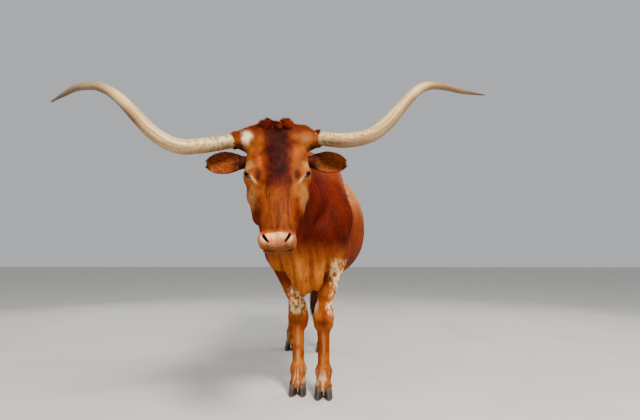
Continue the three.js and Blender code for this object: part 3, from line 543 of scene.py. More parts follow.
def surface(d, lines):
    """Surface nets: a point in each cell that the surface crosses, a quad on each edge that crosses it."""
    inside = d < 0
    n = np.array(d.shape) - 1
    count = np.zeros(tuple(n), np.int8)
    corners = [(i, j, k) for i in (0, 1) for j in (0, 1) for k in (0, 1)]
    for i, j, k in corners:
        count += inside[i : i + n[0], j : j + n[1], k : k + n[2]]
    cells = np.argwhere((count > 0) & (count < 8))
    index = np.full(tuple(n), -1, np.int32)
    index[tuple(cells.T)] = np.arange(len(cells))
    value = {c: d[tuple((cells + c).T)] for c in corners}
    total = np.zeros((len(cells), 3))
    crossings = np.zeros(len(cells))
    for c in corners:
        for axis in (m for m in range(3) if not c[m]):
            e = tuple(v + (axis == m) for m, v in enumerate(c))
            cross = (value[c] < 0) != (value[e] < 0)
            t = np.where(cross, value[c] / np.where(cross, value[c] - value[e], 1), 0)
            for m in range(3):
                total[:, m] += np.where(cross, c[m] + (t if m == axis else 0), 0)
            crossings += cross
    local = total / crossings[:, None]
    points = np.empty_like(local)
    for m in range(3):
        lo, hi = lines[m][cells[:, m]], lines[m][cells[:, m] + 1]
        points[:, m] = lo + (hi - lo) * local[:, m]
    quads = []
    for axis in range(3):
        a, b = (axis + 1) % 3, (axis + 2) % 3
        ends = [[slice(None)] * 3, [slice(None)] * 3]
        ends[0][axis], ends[1][axis] = slice(0, -1), slice(1, None)
        edges = np.argwhere(inside[tuple(ends[0])] != inside[tuple(ends[1])])
        kept = (edges[:, a] > 0) & (edges[:, b] > 0) & (edges[:, a] < n[a]) & (edges[:, b] < n[b])
        edges = edges[kept]
        ring = []
        for da, db in ((-1, -1), (0, -1), (0, 0), (-1, 0)):
            e = edges.copy()
            e[:, a] += da
            e[:, b] += db
            ring.append(index[tuple(e.T)])
        ring = np.stack(ring, 1)
        quads.append(np.where(inside[tuple(edges.T)][:, None], ring, ring[:, ::-1]))
    return points, np.vstack(quads)


def spaced(*stretches):
    """Grid lines from stretches of (start, spacing), ending at the last start."""
    lines = []
    for (a, step), (b, _) in zip(stretches, stretches[1:]):
        lines.append(np.linspace(a, b, max(1, round((b - a) / step)), endpoint=False))
    return np.append(np.concatenate(lines), stretches[-1][0])


FINE = 4.2


def skin_surface():
    xs = spaced((-470, 14), (-300, FINE), (130, 10), (250, 14), (440, 0))
    ys = spaced((-1640, FINE), (-1190, 9), (-760, 8), (-440, 16), (380, 13), (560, 9), (1030, 0))
    zs = spaced((40, 8), (560, 10), (760, FINE), (1440, 6), (1480, 0))
    lines = (xs, ys, zs)
    points, quads = surface(field_on_grid(lines), lines)
    return settle(points, 2, 6.0), quads


# Ears: cups lofted from the stub that the skull grows for them
EAR_ROOT = 150
EAR_LENGTH = 158
EAR_AXIS = (152, -104)
EAR_ROOT_HALF = 31
EAR_HALF = 55
EAR_ROWS = 30
EAR_SIDE = 18


def ear_point(side, t, a, inner):
    """A point of the ear's wall at t along it and at the angle a round it, on its inner or outer face."""
    t0 = np.clip(t, 0, 1)
    tip = EAR_HALF * np.sqrt(np.maximum(1 - ((t0 - 0.5) / 0.502) ** 2, 0.0))
    half = np.where(t0 < 0.5, EAR_ROOT_HALF + (EAR_HALF - EAR_ROOT_HALF) * np.sin(t0 * np.pi), tip)
    back = 26 - 14 * t0**0.7
    wall = 6 - 3 * t0
    cup = np.clip((t - 0.06) / 0.2, 0, 1)
    spread = math.radians(88) - math.radians(16) * t0
    ripple = 1.5 * np.sin(9 * t0 + 3 * a) * cup
    tall = np.maximum(half - 2 - (wall * 0.5 if inner else 0), 0.6)
    dent = 2 * cup - 1 if inner else 1
    out = -np.cos(a * spread) * (back - 1 - (wall * cup if inner else 0)) * dent + (ripple if inner else 0)
    down = EAR_AXIS[0] + 10 * t0 * t0 + np.sin(a * spread) * tall
    across = side * (EAR_ROOT + t * (EAR_LENGTH - 1.5)) + 0 * down
    return POLL + np.stack([across, down, EAR_AXIS[1] + out + 8 * t], -1) @ HEAD_AXES


def ear_surface(side):
    rows = np.concatenate([[-0.3, -0.15, -0.05], 1 - (1 - np.linspace(0, 1, EAR_ROWS)) ** 1.5])
    a = np.linspace(-1, 1, EAR_SIDE + 1)
    walls = [[ear_point(side, t, turn, inner) for t in rows] for turn, inner in ((a, False), (a[::-1], True))]
    rings = np.concatenate(walls, axis=1)
    count = rings.shape[1]
    r, k = np.meshgrid(np.arange(len(rows) - 1), np.arange(count), indexing="ij")
    first, after = r * count + k, r * count + (k + 1) % count
    quads = np.stack([first, after, after + count, first + count], -1).reshape(-1, 4)
    k = np.arange(EAR_SIDE)
    for base, flip in ((0, True), ((len(rows) - 1) * count, False)):
        cap = np.stack([base + k, base + k + 1, base + count - 2 - k, base + count - 1 - k], -1)
        quads = np.vstack([quads, cap[:, ::-1] if flip else cap])
    return rings.reshape(-1, 3), quads if side < 0 else quads[:, ::-1]


def placed(points):
    return np.asarray(points) / 1000 + SHIFT


def make_mesh(name, points, faces):
    """A mesh object from points in millimetres and faces of one size, smooth shaded."""
    mesh = bpy.data.meshes.new(name)
    mesh.vertices.add(len(points))
    mesh.vertices.foreach_set("co", placed(points).astype(np.float32).ravel())
    faces = np.asarray(faces, np.int32)
    sides = faces.shape[1]
    mesh.loops.add(faces.size)
    mesh.loops.foreach_set("vertex_index", faces.ravel())
    mesh.polygons.add(len(faces))
    mesh.polygons.foreach_set("loop_start", np.arange(0, faces.size, sides, dtype=np.int32))
    mesh.polygons.foreach_set("loop_total", np.full(len(faces), sides, np.int32))
    mesh.update(calc_edges=True)
    mesh.polygons.foreach_set("use_smooth", np.ones(len(faces), bool))
    obj = bpy.data.objects.new(name, mesh)
    bpy.context.scene.collection.objects.link(obj)
    return obj


def mesh_points(obj):
    p = np.empty(len(obj.data.vertices) * 3, np.float32)
    obj.data.vertices.foreach_get("co", p)
    return (p.reshape(-1, 3) - SHIFT) * 1000


def sharpen(points, quads):
    """Divides the faces round the eyes, nostrils and mouth once more, and sets them on the skin again."""
    rough = make_mesh("rough", points, quads)
    bm = bmesh.new()
    bm.from_mesh(rough.data)
    bm.verts.ensure_lookup_table()
    _, dn, o = in_head(*points.T)
    fine = (dn > 500) & (o > -150)
    for side in SIDES:
        fine |= in_eye(side, *points.T)[3] < 46
    edges = [e for e in bm.edges if fine[e.verts[0].index] and fine[e.verts[1].index]]
    bmesh.ops.subdivide_edges(bm, edges=edges, cuts=1, use_grid_fill=True)
    bmesh.ops.triangulate(bm, faces=bm.faces[:])
    bm.to_mesh(rough.data)
    bm.free()
    made = mesh_points(rough)
    faces = np.empty(len(rough.data.polygons) * 3, np.int32)
    rough.data.polygons.foreach_get("vertices", faces)
    bpy.data.objects.remove(rough)
    _, dn, o = in_head(*made.T)
    near = (dn > 490) & (o > -160)
    for side in SIDES:
        near |= in_eye(side, *made.T)[3] < 50
    made[near] = settle(made[near], 3, 3.0)
    return made, faces.reshape(-1, 3)


def vertex_normals(points, faces):
    a, b, c = (points[faces[:, k]] for k in range(3))
    face = np.cross(b - a, c - a)
    n = np.zeros_like(points)
    for k in range(3):
        np.add.at(n, faces[:, k], face)
    return units(n)


# Colours, each worked out from where a point lies on the animal
LATTICE_SIZE = 64
LATTICE = np.random.default_rng(11).random((LATTICE_SIZE,) * 3)


def noise(p, size):
    """Smooth noise from 0 to 1 whose lumps have this size in millimetres."""
    q = p / np.asarray(size, float) + 100.37
    i = np.floor(q).astype(int)
    f = q - i
    f = f * f * (3 - 2 * f)
    total = np.zeros(len(p))
    for corner in np.ndindex(2, 2, 2):
        w = np.prod(np.where(corner, f, 1 - f), axis=1)
        total += w * LATTICE[tuple(((i + corner) % LATTICE_SIZE).T)]
    return total


def tint(r, g, b):
    c = np.array([r, g, b]) / 255
    return np.where(c < 0.04045, c / 12.92, ((c + 0.055) / 1.055) ** 2.4)


MAROON = tint(66, 7, 1)
RED = tint(118, 38, 7)
BROWN = tint(154, 72, 17)
GOLD = tint(204, 128, 50)
PALE = tint(236, 198, 142)
CREAM = tint(246, 226, 184)
PINK = tint(192, 108, 54)
# DUSK is the near-black used as painted shade in the nostrils, the groove of the mouth and the roots of the
# ears, and for the chin's stubble.
DUSK = tint(38, 16, 9)
DEEPER = 1.2
# Painted shade: the head's colours are darkened and warmed by this factor to offset the frontal key light.
HEAD_PAINTED_SHADE = np.array([0.72, 0.66, 0.58])


def blend(colour, other, amount):
    return colour + (other - colour) * np.clip(amount, 0, 1)[:, None]


def spot(u, v, radius_u, radius_v):
    return np.exp(-(((u / radius_u) ** 2 + (v / radius_v) ** 2) ** 1.5))


def head_share(p):
    """1 on the head, and 0 behind the plane where the neck begins."""
    _, dn, o = in_head(*p.T)
    return ramp(30, -40, -0.5 * (dn - 40) - 0.866 * (o + 130)) * ramp(-1120, -1180, p[:, 1])


def pad_span(a, dn, half_width, half_height):
    return np.sqrt(((a - MUZZLE) / half_width) ** 2 + ((dn - PAD_LEVEL) / half_height) ** 2)


def bare_skin(p):
    """1 on the nose pad and the rims of the lids, where no hair grows."""
    a, dn, o = in_head(*p.T)
    pad = ramp(1.06, 0.9, pad_span(a, dn, 63, 28)) * ramp(-42, -20, o)
    for side in SIDES:
        e, q, r, ball = in_eye(side, *p.T)
        rim = ramp(6, 3.5, lid_gap(e, q)) * ramp(36, 33, ball) * ramp(2, 8, r)
        pad = np.maximum(pad, rim)
    return pad


def head_colour(p):
    """Dark stripe down the forehead, gold cheeks and bridge, pale marks round the eyes, light muzzle, with
    painted shade at the ear roots, by the inner eye corners, on the jaw and under the mouth, and a painted
    highlight on the brows.
    """
    a, dn, o = in_head(*p.T)
    side = np.abs(a)
    patchy = noise(p, 26)
    streak = noise(np.stack([a, dn, o], 1), (5.5, 60, 30))
    c = blend(RED, BROWN, 0.35 + 0.9 * (patchy - 0.4))
    sides = ramp(42, 74, side) * ramp(30, 80, dn)
    c = blend(c, GOLD, sides * ramp(420, 330, dn) * (0.35 + 0.7 * (patchy - 0.3)))
    bridge = ramp(290, 350, dn) * ramp(520, 470, dn) * ramp(80, 50, side)
    c = blend(c, GOLD, bridge * (0.2 + 0.5 * streak))
    stripe = ramp(72, 22, np.abs(a - 3) - 30 * (noise(p, 34) - 0.5) - 10 * (noise(p, 9) - 0.5))
    stripe = stripe * ramp(340, 240, dn)
    c = blend(c, MAROON, stripe * (0.85 + 0.4 * (noise(p, (9, 9, 20)) - 0.3)))
    runs = 0.55 * ramp(0.35, 0.75, streak) * ramp(230, 300, dn)
    c = blend(c, MAROON, runs * ramp(80, 40, side))
    # Painted shade: the jaw beside the muzzle is darkened a little.
    jaw_shade = 0.15 * ramp(375, 430, dn) * ramp(64, 84, side)
    c = blend(c, MAROON, jaw_shade * ramp(520, 480, dn))
    # Painted shade: near-black where the ears leave the head.
    c = blend(c, DUSK, 0.85 * ramp(134, 150, side) * ramp(90, 108, dn) * ramp(204, 190, dn))
    c = blend(c, MAROON, 0.8 * ramp(-120, -190, o) * ramp(120, 200, dn))
    # Painted shadow: a dark spot between each eye and the bridge, under the brow.
    c = blend(c, MAROON, 0.8 * spot(side - 82, dn - 254, 15, 34))
    cheek = spot(side - 112, dn - 345, 24, 50) * ramp(-170, -90, o)
    c = blend(c, PALE, 0.34 * cheek * (0.5 + noise(p, 9)))
    # Pale tan hair on the brow ridge above each eye, made lighter still as a painted highlight.
    brow = 0.5 * spot(side - 126, dn - 206, 20, 26) * ramp(-150, -80, o)
    c = blend(c, PALE, brow * (0.6 + 0.8 * noise(p, 8)))
    lower = (side - 104) * 0.78 + (dn - 276) * 0.62
    inner = -(side - 104) * 0.62 + (dn - 276) * 0.78
    c = blend(c, PALE, 0.85 * spot(inner, lower + 4, 24, 6) * ramp(-90, -50, o))
    patch = spot(a + 130 + 16 * (noise(p, 15) - 0.5), dn - 74, 19, 27) * ramp(-130, -70, o)
    # The cream patch is divided by the painted shade so that it keeps its own colour on the shaded head.
    c = blend(c, CREAM / HEAD_PAINTED_SHADE, 1.3 * patch)
    c = blend(c, PALE, 0.25 * spot(a - 128, dn - 84, 26, 30))
    muzzle = ramp(490, 528, dn) * ramp(-140, -70, o)
    c = blend(c, tint(206, 132, 78), muzzle * (0.7 + 0.5 * (noise(p, 6) - 0.5)))
    c = blend(c, PALE, 0.35 * muzzle * ramp(56, 74, side) * ramp(590, 560, dn))
    chin = ramp(562, 584, dn) * ramp(-140, -70, o)
    c = blend(c, tint(168, 108, 66), 0.85 * chin * (0.8 + 0.5 * (noise(p, 5) - 0.5)))
    c = blend(c, DUSK, 0.4 * chin * ramp(0.5, 0.7, noise(p, 3)))
    # Painted shadow: dark brown under the mouth, on the lower lip and chin.
    return blend(c, tint(74, 34, 18), 0.8 * ramp(592, 604, dn) * ramp(-140, -70, o))


def face_skin_colour(p, c):
    """Bare skin over the coat's colour: the moist pad with a painted highlight on its upper part, painted
    shade in the nostrils and along the mouth, the dark lids.
    """
    a, dn, o = in_head(*p.T)
    pad = ramp(1.05, 0.8, pad_span(a, dn, 62, 30)) * ramp(-42, -20, o)
    # Painted highlight: the upper part of the pad is lighter.
    tone = blend(PINK, tint(230, 160, 90), ramp(556, 536, dn))
    tone = blend(tone, tint(128, 74, 44), 0.75 * ramp(552, 574, dn) + 0.5 * (noise(p, 7) - 0.4))
    c = blend(c, tone, pad)
    for side in SIDES:
        along, wide = in_nostril(side, a, dn)
        pit = np.sqrt((along / 24) ** 2 + ((wide + NOSTRIL_BEND * along * along - 2) / 7) ** 2)
        # Painted shade: near-black inside the nostril pits.
        c = blend(c, DUSK, ramp(1.2, 0.75, pit) * ramp(-30, -15, o))
        wing = np.exp(-(((wide - 15) / 6) ** 2) - (along / 22) ** 4) * ramp(-30, -10, o)
        c = blend(c, tint(240, 190, 142), 0.6 * wing)
        e, q, r, ball = in_eye(side, *p.T)
        rim = ramp(6.5, 3.5, lid_gap(e, q)) * ramp(37, 33, ball) * ramp(2, 8, r)
        c = blend(c, tint(46, 22, 14), rim)
        duct = spot(e - LID_GAP[0] - 2, q + 3, 6, 5) * ramp(40, 34, ball) * ramp(2, 8, r)
        c = blend(c, tint(120, 66, 50), 0.8 * duct)
    # Painted shade: near-black along the groove between the lips.
    return blend(c, DUSK, mouth_line(a, dn, o, 0.85, 4))


def body_colour(p):
    """Dark red neck, brown barrel, gold back with pale flecks, gold breast and belly, brown legs, with
    painted shade in the breast's pleats and a painted highlight on the left shoulder's edge.
    """
    x, y, z = p.T
    patchy = noise(p, (60, 90, 60))
    fine = 0.62 * noise(p, (5, 18, 9)) + 0.38 * noise(p, (16, 50, 30))
    c = blend(RED, MAROON, 0.22 + 0.8 * (patchy - 0.5))
    barrel = ramp(-480, -300, y)
    c = blend(c, BROWN, 0.75 * barrel * ramp(600, 900, z) * (0.5 + patchy))
    back = ramp(960, 1240, z) * ramp(-700, -330, y + 160 * (patchy - 0.5))
    c = blend(c, GOLD, back * (0.65 + 0.6 * (patchy - 0.4)))
    c = blend(c, PALE, back * 0.6 * ramp(0.50, 0.68, fine) * ramp(1020, 1250, z))
    # Painted highlight: lighter brown on the outer edge of the left shoulder only, the key light's side.
    edge = ramp(0.25, 0.9, x / 300) * ramp(-760, -560, y) * ramp(-400, -480, y)
    c = blend(c, BROWN, 0.8 * edge)
    breast = ramp(900, 720, z) * ramp(-600, -740, y) * ramp(500, 640, z)
    c = blend(c, GOLD, breast * (0.85 + 0.5 * (patchy - 0.5)))
    # Painted shade: darker red in the grooves of the breast's pleats.
    c = blend(c, RED, breast * 0.5 * ramp(0.3, 1, pleats(x, z)))
    nape = ramp(1180, 1330, z) * ramp(-500, -700, y)
    c = blend(c, BROWN, 0.7 * nape)
    belly = ramp(760, 660, z) * ramp(-560, -400, y) * ramp(520, 380, y)
    c = blend(c, GOLD, 0.5 * belly)
    leg = ramp(700, 560, z)
    c = blend(c, BROWN, leg * (0.8 + 0.5 * (patchy - 0.5)))
    c = blend(c, GOLD, leg * (0.3 + 0.8 * (noise(p, 40) - 0.4)))
    return leg_marks(p, c)


def leg_marks(p, c):
    """White blazes with red speckles on the forearms, dark fronts of the knees, pale pasterns."""
    x, y, z = p.T
    speck = ramp(0.44, 0.55, 0.6 * noise(p, (12, 14, 17)) + 0.4 * noise(p, 6))
    edge = 26 * (noise(p, 30) - 0.5)
    fore = y < -380
    left, right = FORE_FEET[1][0], FORE_FEET[-1][0]
    outer = fore * ramp(-4, 22, x - left - 26 + edge - 0.10 * (z - 600)) * (x > 20)
    blaze = outer * ramp(440, 500, z) * ramp(800, 740, z) * ramp(-460, -540, y)
    inner = fore * (x < 20) * ramp(16, -8, np.abs(x - right + 6 + 0.12 * (z - 540)) - 44 + edge)
    inner = inner * ramp(448, 480, z) * ramp(640, 590, z)
    blaze = np.maximum(blaze, inner * ramp(-500, -560, y))
    small = fore * (x > 20) * spot(x - left + 44, z - 530, 14, 50)
    c = blend(c, GOLD, 0.6 * blaze)
    c = blend(c, CREAM, np.maximum(blaze * speck, 0.7 * small))
    for foot in FORE_FEET.values():
        knee = spot(x - foot[0], z - KNEE_HEIGHT + 26, 46, 22) * ramp(10, -20, y - foot[1])
        c = blend(c, MAROON, 0.5 * knee * fore)
        streak = ramp(14, 4, np.abs(x - foot[0])) * ramp(10, -10, y - foot[1])
        streak = 0.5 * streak * ramp(400, 360, z) * ramp(150, 200, z)
        c = blend(c, PALE, streak * noise(p, (6, 6, 40)))
    cannon = ramp(410, 360, z) * ramp(190, 230, z)
    c = blend(c, RED, 0.25 * cannon * (x > 20))
    pastern = ramp(180, 110, z)
    c = blend(c, tint(166, 104, 58), 0.75 * pastern)
    return blend(c, CREAM, 0.45 * pastern * ramp(0.5, 0.8, noise(p, (8, 8, 30))))


def tail_colour(p, c):
    behind = ramp(930, 950, p[:, 1])
    return blend(c, MAROON, 0.5 * behind * ramp(1250, 900, p[:, 2]))


def coat_colour(p):
    share = head_share(p)
    c = tail_colour(p, body_colour(p))
    on = share > 0
    # The head takes its colours through the painted shade.
    c[on] = blend(c[on], head_colour(p[on]) * HEAD_PAINTED_SHADE, share[on])
    return c**DEEPER


def ear_colour(side, p):
    """Dark red rim and back, tan hair in the cup, and painted shade at its root."""
    a, dn, _ = in_head(*p.T)
    t = (a * side - EAR_ROOT) / EAR_LENGTH
    v = (dn - EAR_AXIS[0] - 10 * t * t) / EAR_HALF
    rim = np.hypot((t - 0.52) / 0.5, v)
    c = blend(MAROON, RED, 0.3 + 0.6 * noise(p, 16))
    cup = ramp(0.95, 0.6, rim) * ramp(0.12, 0.3, t)
    c = blend(c, tint(136, 48, 16), cup * (0.3 + 0.7 * ramp(-0.3, 0.5, v)) * (0.5 + noise(p, 12)))
    # Painted shade: near-black towards the ear's root.
    return blend(c, DUSK, ramp(0.26, 0.05, t) * 0.8)


def paint(obj, colours, name="coat"):
    layer = obj.data.color_attributes.new(name, "FLOAT_COLOR", "POINT")
    rgba = np.ones((len(obj.data.vertices), 4), np.float32)
    rgba[:, :3] = colours
    layer.data.foreach_set("color", rgba.ravel())


def mark(obj, name, values):
    layer = obj.data.attributes.new(name, "FLOAT", "POINT")
    layer.data.foreach_set("value", np.asarray(values, np.float32))


# Materials
class Nodes:
    """Short names for building a material's nodes."""

    def __init__(self, name):
        self.material = bpy.data.materials.new(name)
        self.material.use_nodes = True
        self.tree = self.material.node_tree
        self.shader = self.tree.nodes["Principled BSDF"]

    def add(self, kind, **values):
        node = self.tree.nodes.new("ShaderNode" + kind)
        for key, value in values.items():
            if key in node.inputs:
                node.inputs[key].default_value = value
            else:
                setattr(node, key, value)
        return node

    def link(self, a, b):
        self.tree.links.new(a, b)

    def set(self, **values):
        for key, value in values.items():
            self.shader.inputs[key.replace("_", " ")].default_value = value

    def noise(self, scale, detail=4.0, stretch=(1, 1, 1)):
        place = self.add("TexCoord")
        turn = self.add("Mapping")
        turn.inputs["Scale"].default_value = stretch
        self.link(place.outputs["Object"], turn.inputs["Vector"])
        texture = self.add("TexNoise", Scale=scale, Detail=detail)
        self.link(turn.outputs["Vector"], texture.inputs["Vector"])
        return texture.outputs["Fac"]

    def ranged(self, source, lo, hi, out_lo, out_hi):
        node = self.add("MapRange")
        for slot, value in zip((1, 2, 3, 4), (lo, hi, out_lo, out_hi)):
            node.inputs[slot].default_value = value
        self.link(source, node.inputs[0])
        return node.outputs[0]

    def attribute(self, name):
        return self.add("Attribute", attribute_name=name)

    def mixed(self, kind, amount, a, b):
        node = self.add("MixRGB", blend_type=kind)
        for slot, value in ((0, amount), (1, a), (2, b)):
            if isinstance(value, (int, float, tuple)):
                node.inputs[slot].default_value = value
            else:
                self.link(value, node.inputs[slot])
        return node.outputs[0]

    def bump(self, height, strength, distance):
        node = self.add("Bump", Strength=strength, Distance=distance)
        self.link(height, node.inputs["Height"])
        self.link(node.outputs["Normal"], self.shader.inputs["Normal"])


def coat_material(name, rough, streaks):
    """Short glossy hair: the painted colours, broken up by fine noise, moist where the skin is bare."""
    m = Nodes(name)
    paint_in = m.attribute("coat").outputs["Color"]
    shade = m.ranged(m.noise(streaks, 6), 0.3, 0.7, 0.72, 1.28)
    broad = m.ranged(m.noise(28, 3), 0.35, 0.65, 0.9, 1.1)
    toned = m.mixed("MULTIPLY", 1.0, paint_in, shade)
    m.link(m.mixed("MULTIPLY", 1.0, toned, broad), m.shader.inputs["Base Color"])
    bare = m.attribute("bare").outputs["Fac"]
    m.link(m.ranged(bare, 0, 1, rough, 0.3), m.shader.inputs["Roughness"])
    m.link(m.ranged(bare, 0, 1, 0.07, 0.5), m.shader.inputs["Specular IOR Level"])
    pebbles = m.add("TexVoronoi", feature="DISTANCE_TO_EDGE", Scale=190)
    m.link(m.add("TexCoord").outputs["Object"], pebbles.inputs["Vector"])
    hairs = m.noise(streaks * 1.6, 5)
    grain = m.ranged(pebbles.outputs["Distance"], 0, 0.25, 0, 1)
    m.bump(m.mixed("MIX", bare, hairs, grain), 0.3, 0.0016)
    return m.material


def strand_material(name, rough):
    m = Nodes(name)
    paint_in = m.attribute("coat").outputs["Color"]
    shade = m.ranged(m.noise(160, 4), 0.3, 0.7, 0.8, 1.2)
    m.link(m.mixed("MULTIPLY", 1.0, paint_in, shade), m.shader.inputs["Base Color"])
    m.set(Roughness=rough, Specular_IOR_Level=0.07)
    return m.material


def keratin_material(name, rough, scale, strength):
    """Horn and hoof: painted tones with fine grooves along the growth and duller and shinier places."""
    m = Nodes(name)
    paint_in = m.attribute("coat").outputs["Color"]
    shade = m.ranged(m.noise(scale, 8), 0.3, 0.7, 0.78, 1.2)
    m.link(m.mixed("MULTIPLY", 1.0, paint_in, shade), m.shader.inputs["Base Color"])
    worn = m.ranged(m.noise(scale / 3, 4), 0.3, 0.7, rough - 0.08, rough + 0.12)
    m.link(worn, m.shader.inputs["Roughness"])
    m.bump(m.noise(scale * 1.5, 6), strength, 0.0015)
    return m.material


def eye_material():
    m = Nodes("eye")
    m.link(m.attribute("coat").outputs["Color"], m.shader.inputs["Base Color"])
    m.link(m.ranged(m.noise(500, 3), 0.3, 0.7, 0.03, 0.07), m.shader.inputs["Roughness"])
    m.set(Specular_IOR_Level=0.6, Coat_Weight=1.0, Coat_Roughness=0.02)
    return m.material


COAT = coat_material("coat", 0.62, 240)
TUFT = strand_material("tufts", 0.6)
HAIR = strand_material("hair", 0.5)
HORN = keratin_material("horn", 0.42, 130, 0.6)
HOOF = keratin_material("hoof", 0.5, 190, 0.5)
EYE = eye_material()


# The skin
points, quads = skin_surface()
points, triangles = sharpen(points, quads)
head_count = len(points)
skin_colours = coat_colour(points)
on_head = head_share(points) > 0
skin_colours[on_head] = face_skin_colour(points[on_head], skin_colours[on_head])
bare = bare_skin(points)
all_points, all_triangles, all_colours = [points], [triangles], [skin_colours]
for side in SIDES:
    ear_points, ear_quads = ear_surface(side)
    start = sum(len(p) for p in all_points)
    all_points.append(ear_points)
    split = np.vstack([ear_quads[:, [0, 1, 2]], ear_quads[:, [0, 2, 3]]])
    all_triangles.append(split + start)
    all_colours.append(ear_colour(side, ear_points))
skin = make_mesh("skin", np.vstack(all_points), np.vstack(all_triangles))
paint(skin, np.vstack(all_colours))
mark(skin, "bare", np.concatenate([bare, np.zeros(len(skin.data.vertices) - head_count)]))
skin.data.materials.append(COAT)
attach(skin, "root")
FLESH = ["head", "neck", "trunk", "tail_upper", "tail_lower", "ear_left", "ear_right"]
FLESH += [s + n for s in ("left", "right") for n in ("_forearm", "_fore_cannon", "_gaskin", "_hind_cannon")]
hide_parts(*FLESH)


# Eyes: a ball with a clear bulge, a brown iris and the long pupil of cattle
def make_eye(side, name):
    rows, columns = 40, 64
    polar = np.linspace(0, np.pi, rows + 1)[1:-1]
    turn = np.linspace(0, 2 * np.pi, columns, endpoint=False)
    polar, turn = (g.ravel() for g in np.meshgrid(polar, turn, indexing="ij"))
    local = np.stack([np.sin(polar) * np.cos(turn), np.sin(polar) * np.sin(turn), np.cos(polar)], 1)
    local = np.vstack([[0, 0, 1], local, [0, 0, -1]])
    bulge = 1.6 * ramp(0.70, 0.95, local[:, 2])
    p = EYES[side] + (local * (EYE_RADIUS - 0.2 + bulge - 1.4)[:, None]) @ EYE_AXES[side]
    faces = []
    for r in range(rows - 2):
        for k in range(columns):
            a, b = 1 + r * columns + k, 1 + r * columns + (k + 1) % columns
            faces += [(a, a + columns, b), (b, a + columns, b + columns)]
    last = len(local) - 1
    for k in range(columns):
        faces.append((0, 1 + k, 1 + (k + 1) % columns))
        faces.append((last, last - columns + (k + 1) % columns, last - columns + k))
    eye = make_mesh(name, p, faces)
    radius = np.hypot(local[:, 0], local[:, 1])
    angle = np.arctan2(local[:, 1], local[:, 0])
    streak = noise(np.stack([angle * 30, radius * 20, 0 * radius], 1), (1.3, 6, 1))
    iris = ramp(0.64, 0.58, radius) * (local[:, 2] > 0)
    c = blend(tint(96, 60, 44), tint(52, 24, 10), iris)
    c = blend(c, tint(92, 48, 18), iris * ramp(0.3, 0.8, streak) * ramp(0.62, 0.45, radius))
    pupil = ramp(1.15, 0.9, np.hypot(local[:, 0] / 0.42, local[:, 1] / 0.24)) * (local[:, 2] > 0)
    c = blend(c, tint(6, 4, 4), pupil)
    c = blend(c, tint(14, 8, 6), ramp(0.52, 0.62, radius) * iris)
    paint(eye, c)
    eye.data.materials.append(EYE)
    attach(eye, "root")
    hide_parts(name)


for side, word in WORDS.items():
    make_eye(side, "eye_" + word)


# Horns, on the stations of the part's source: across, down, out and diameter in the head's measures
HORNS = {
    1: np.array([
        [HORN_ROOT, 60, -52, 62], [244, 90, -20, 65], [312, 109, 11, 66], [400, 107, 50, 64],
        [466, 67, 81, 59], [518, 14, 100, 54], [568, -42, 106, 49], [630, -96, 104, 44],
        [690, -119, 93, 38], [762, -124, 73, 31], [846, -122, 46, 22], [964, -127, 16, 7],
    ], float),
    -1: np.array([
        [HORN_ROOT, 71, -56, 61], [259, 104, -25, 64], [324, 132, 4, 65], [388, 150, 30, 65],
        [446, 140, 52, 63], [500, 106, 72, 59], [548, 58, 88, 55], [594, 7, 99, 51],
        [642, -42, 100, 47], [690, -80, 95, 43], [748, -108, 80, 38], [828, -120, 50, 31],
        [888, -105, 25, 21], [948, -85, -2, 7],
    ], float),
}
HORN_ROWS = 220
HORN_SIDES = 40


def along_stations(stations, t):
    """A smooth curve through evenly spaced stations."""
    last = len(stations) - 1
    s = np.clip(t, 0, 1) * last
    i = np.minimum(np.floor(s).astype(int), last - 1)
    f = (s - i)[:, None]
    p0, p1, p2, p3 = (stations[np.clip(i + k, 0, last)] for k in (-1, 0, 1, 2))
    return p1 + 0.5 * f * (p2 - p0 + f * (2 * p0 - 5 * p1 + 4 * p2 - p3 + f * (3 * (p1 - p2) + p3 - p0)))


def tube_faces(rows, sides):
    r, k = np.meshgrid(np.arange(rows - 1), np.arange(sides), indexing="ij")
    a, b = r * sides + k, r * sides + (k + 1) % sides
    return np.stack([a, b, b + sides, a + sides], -1).reshape(-1, 4)


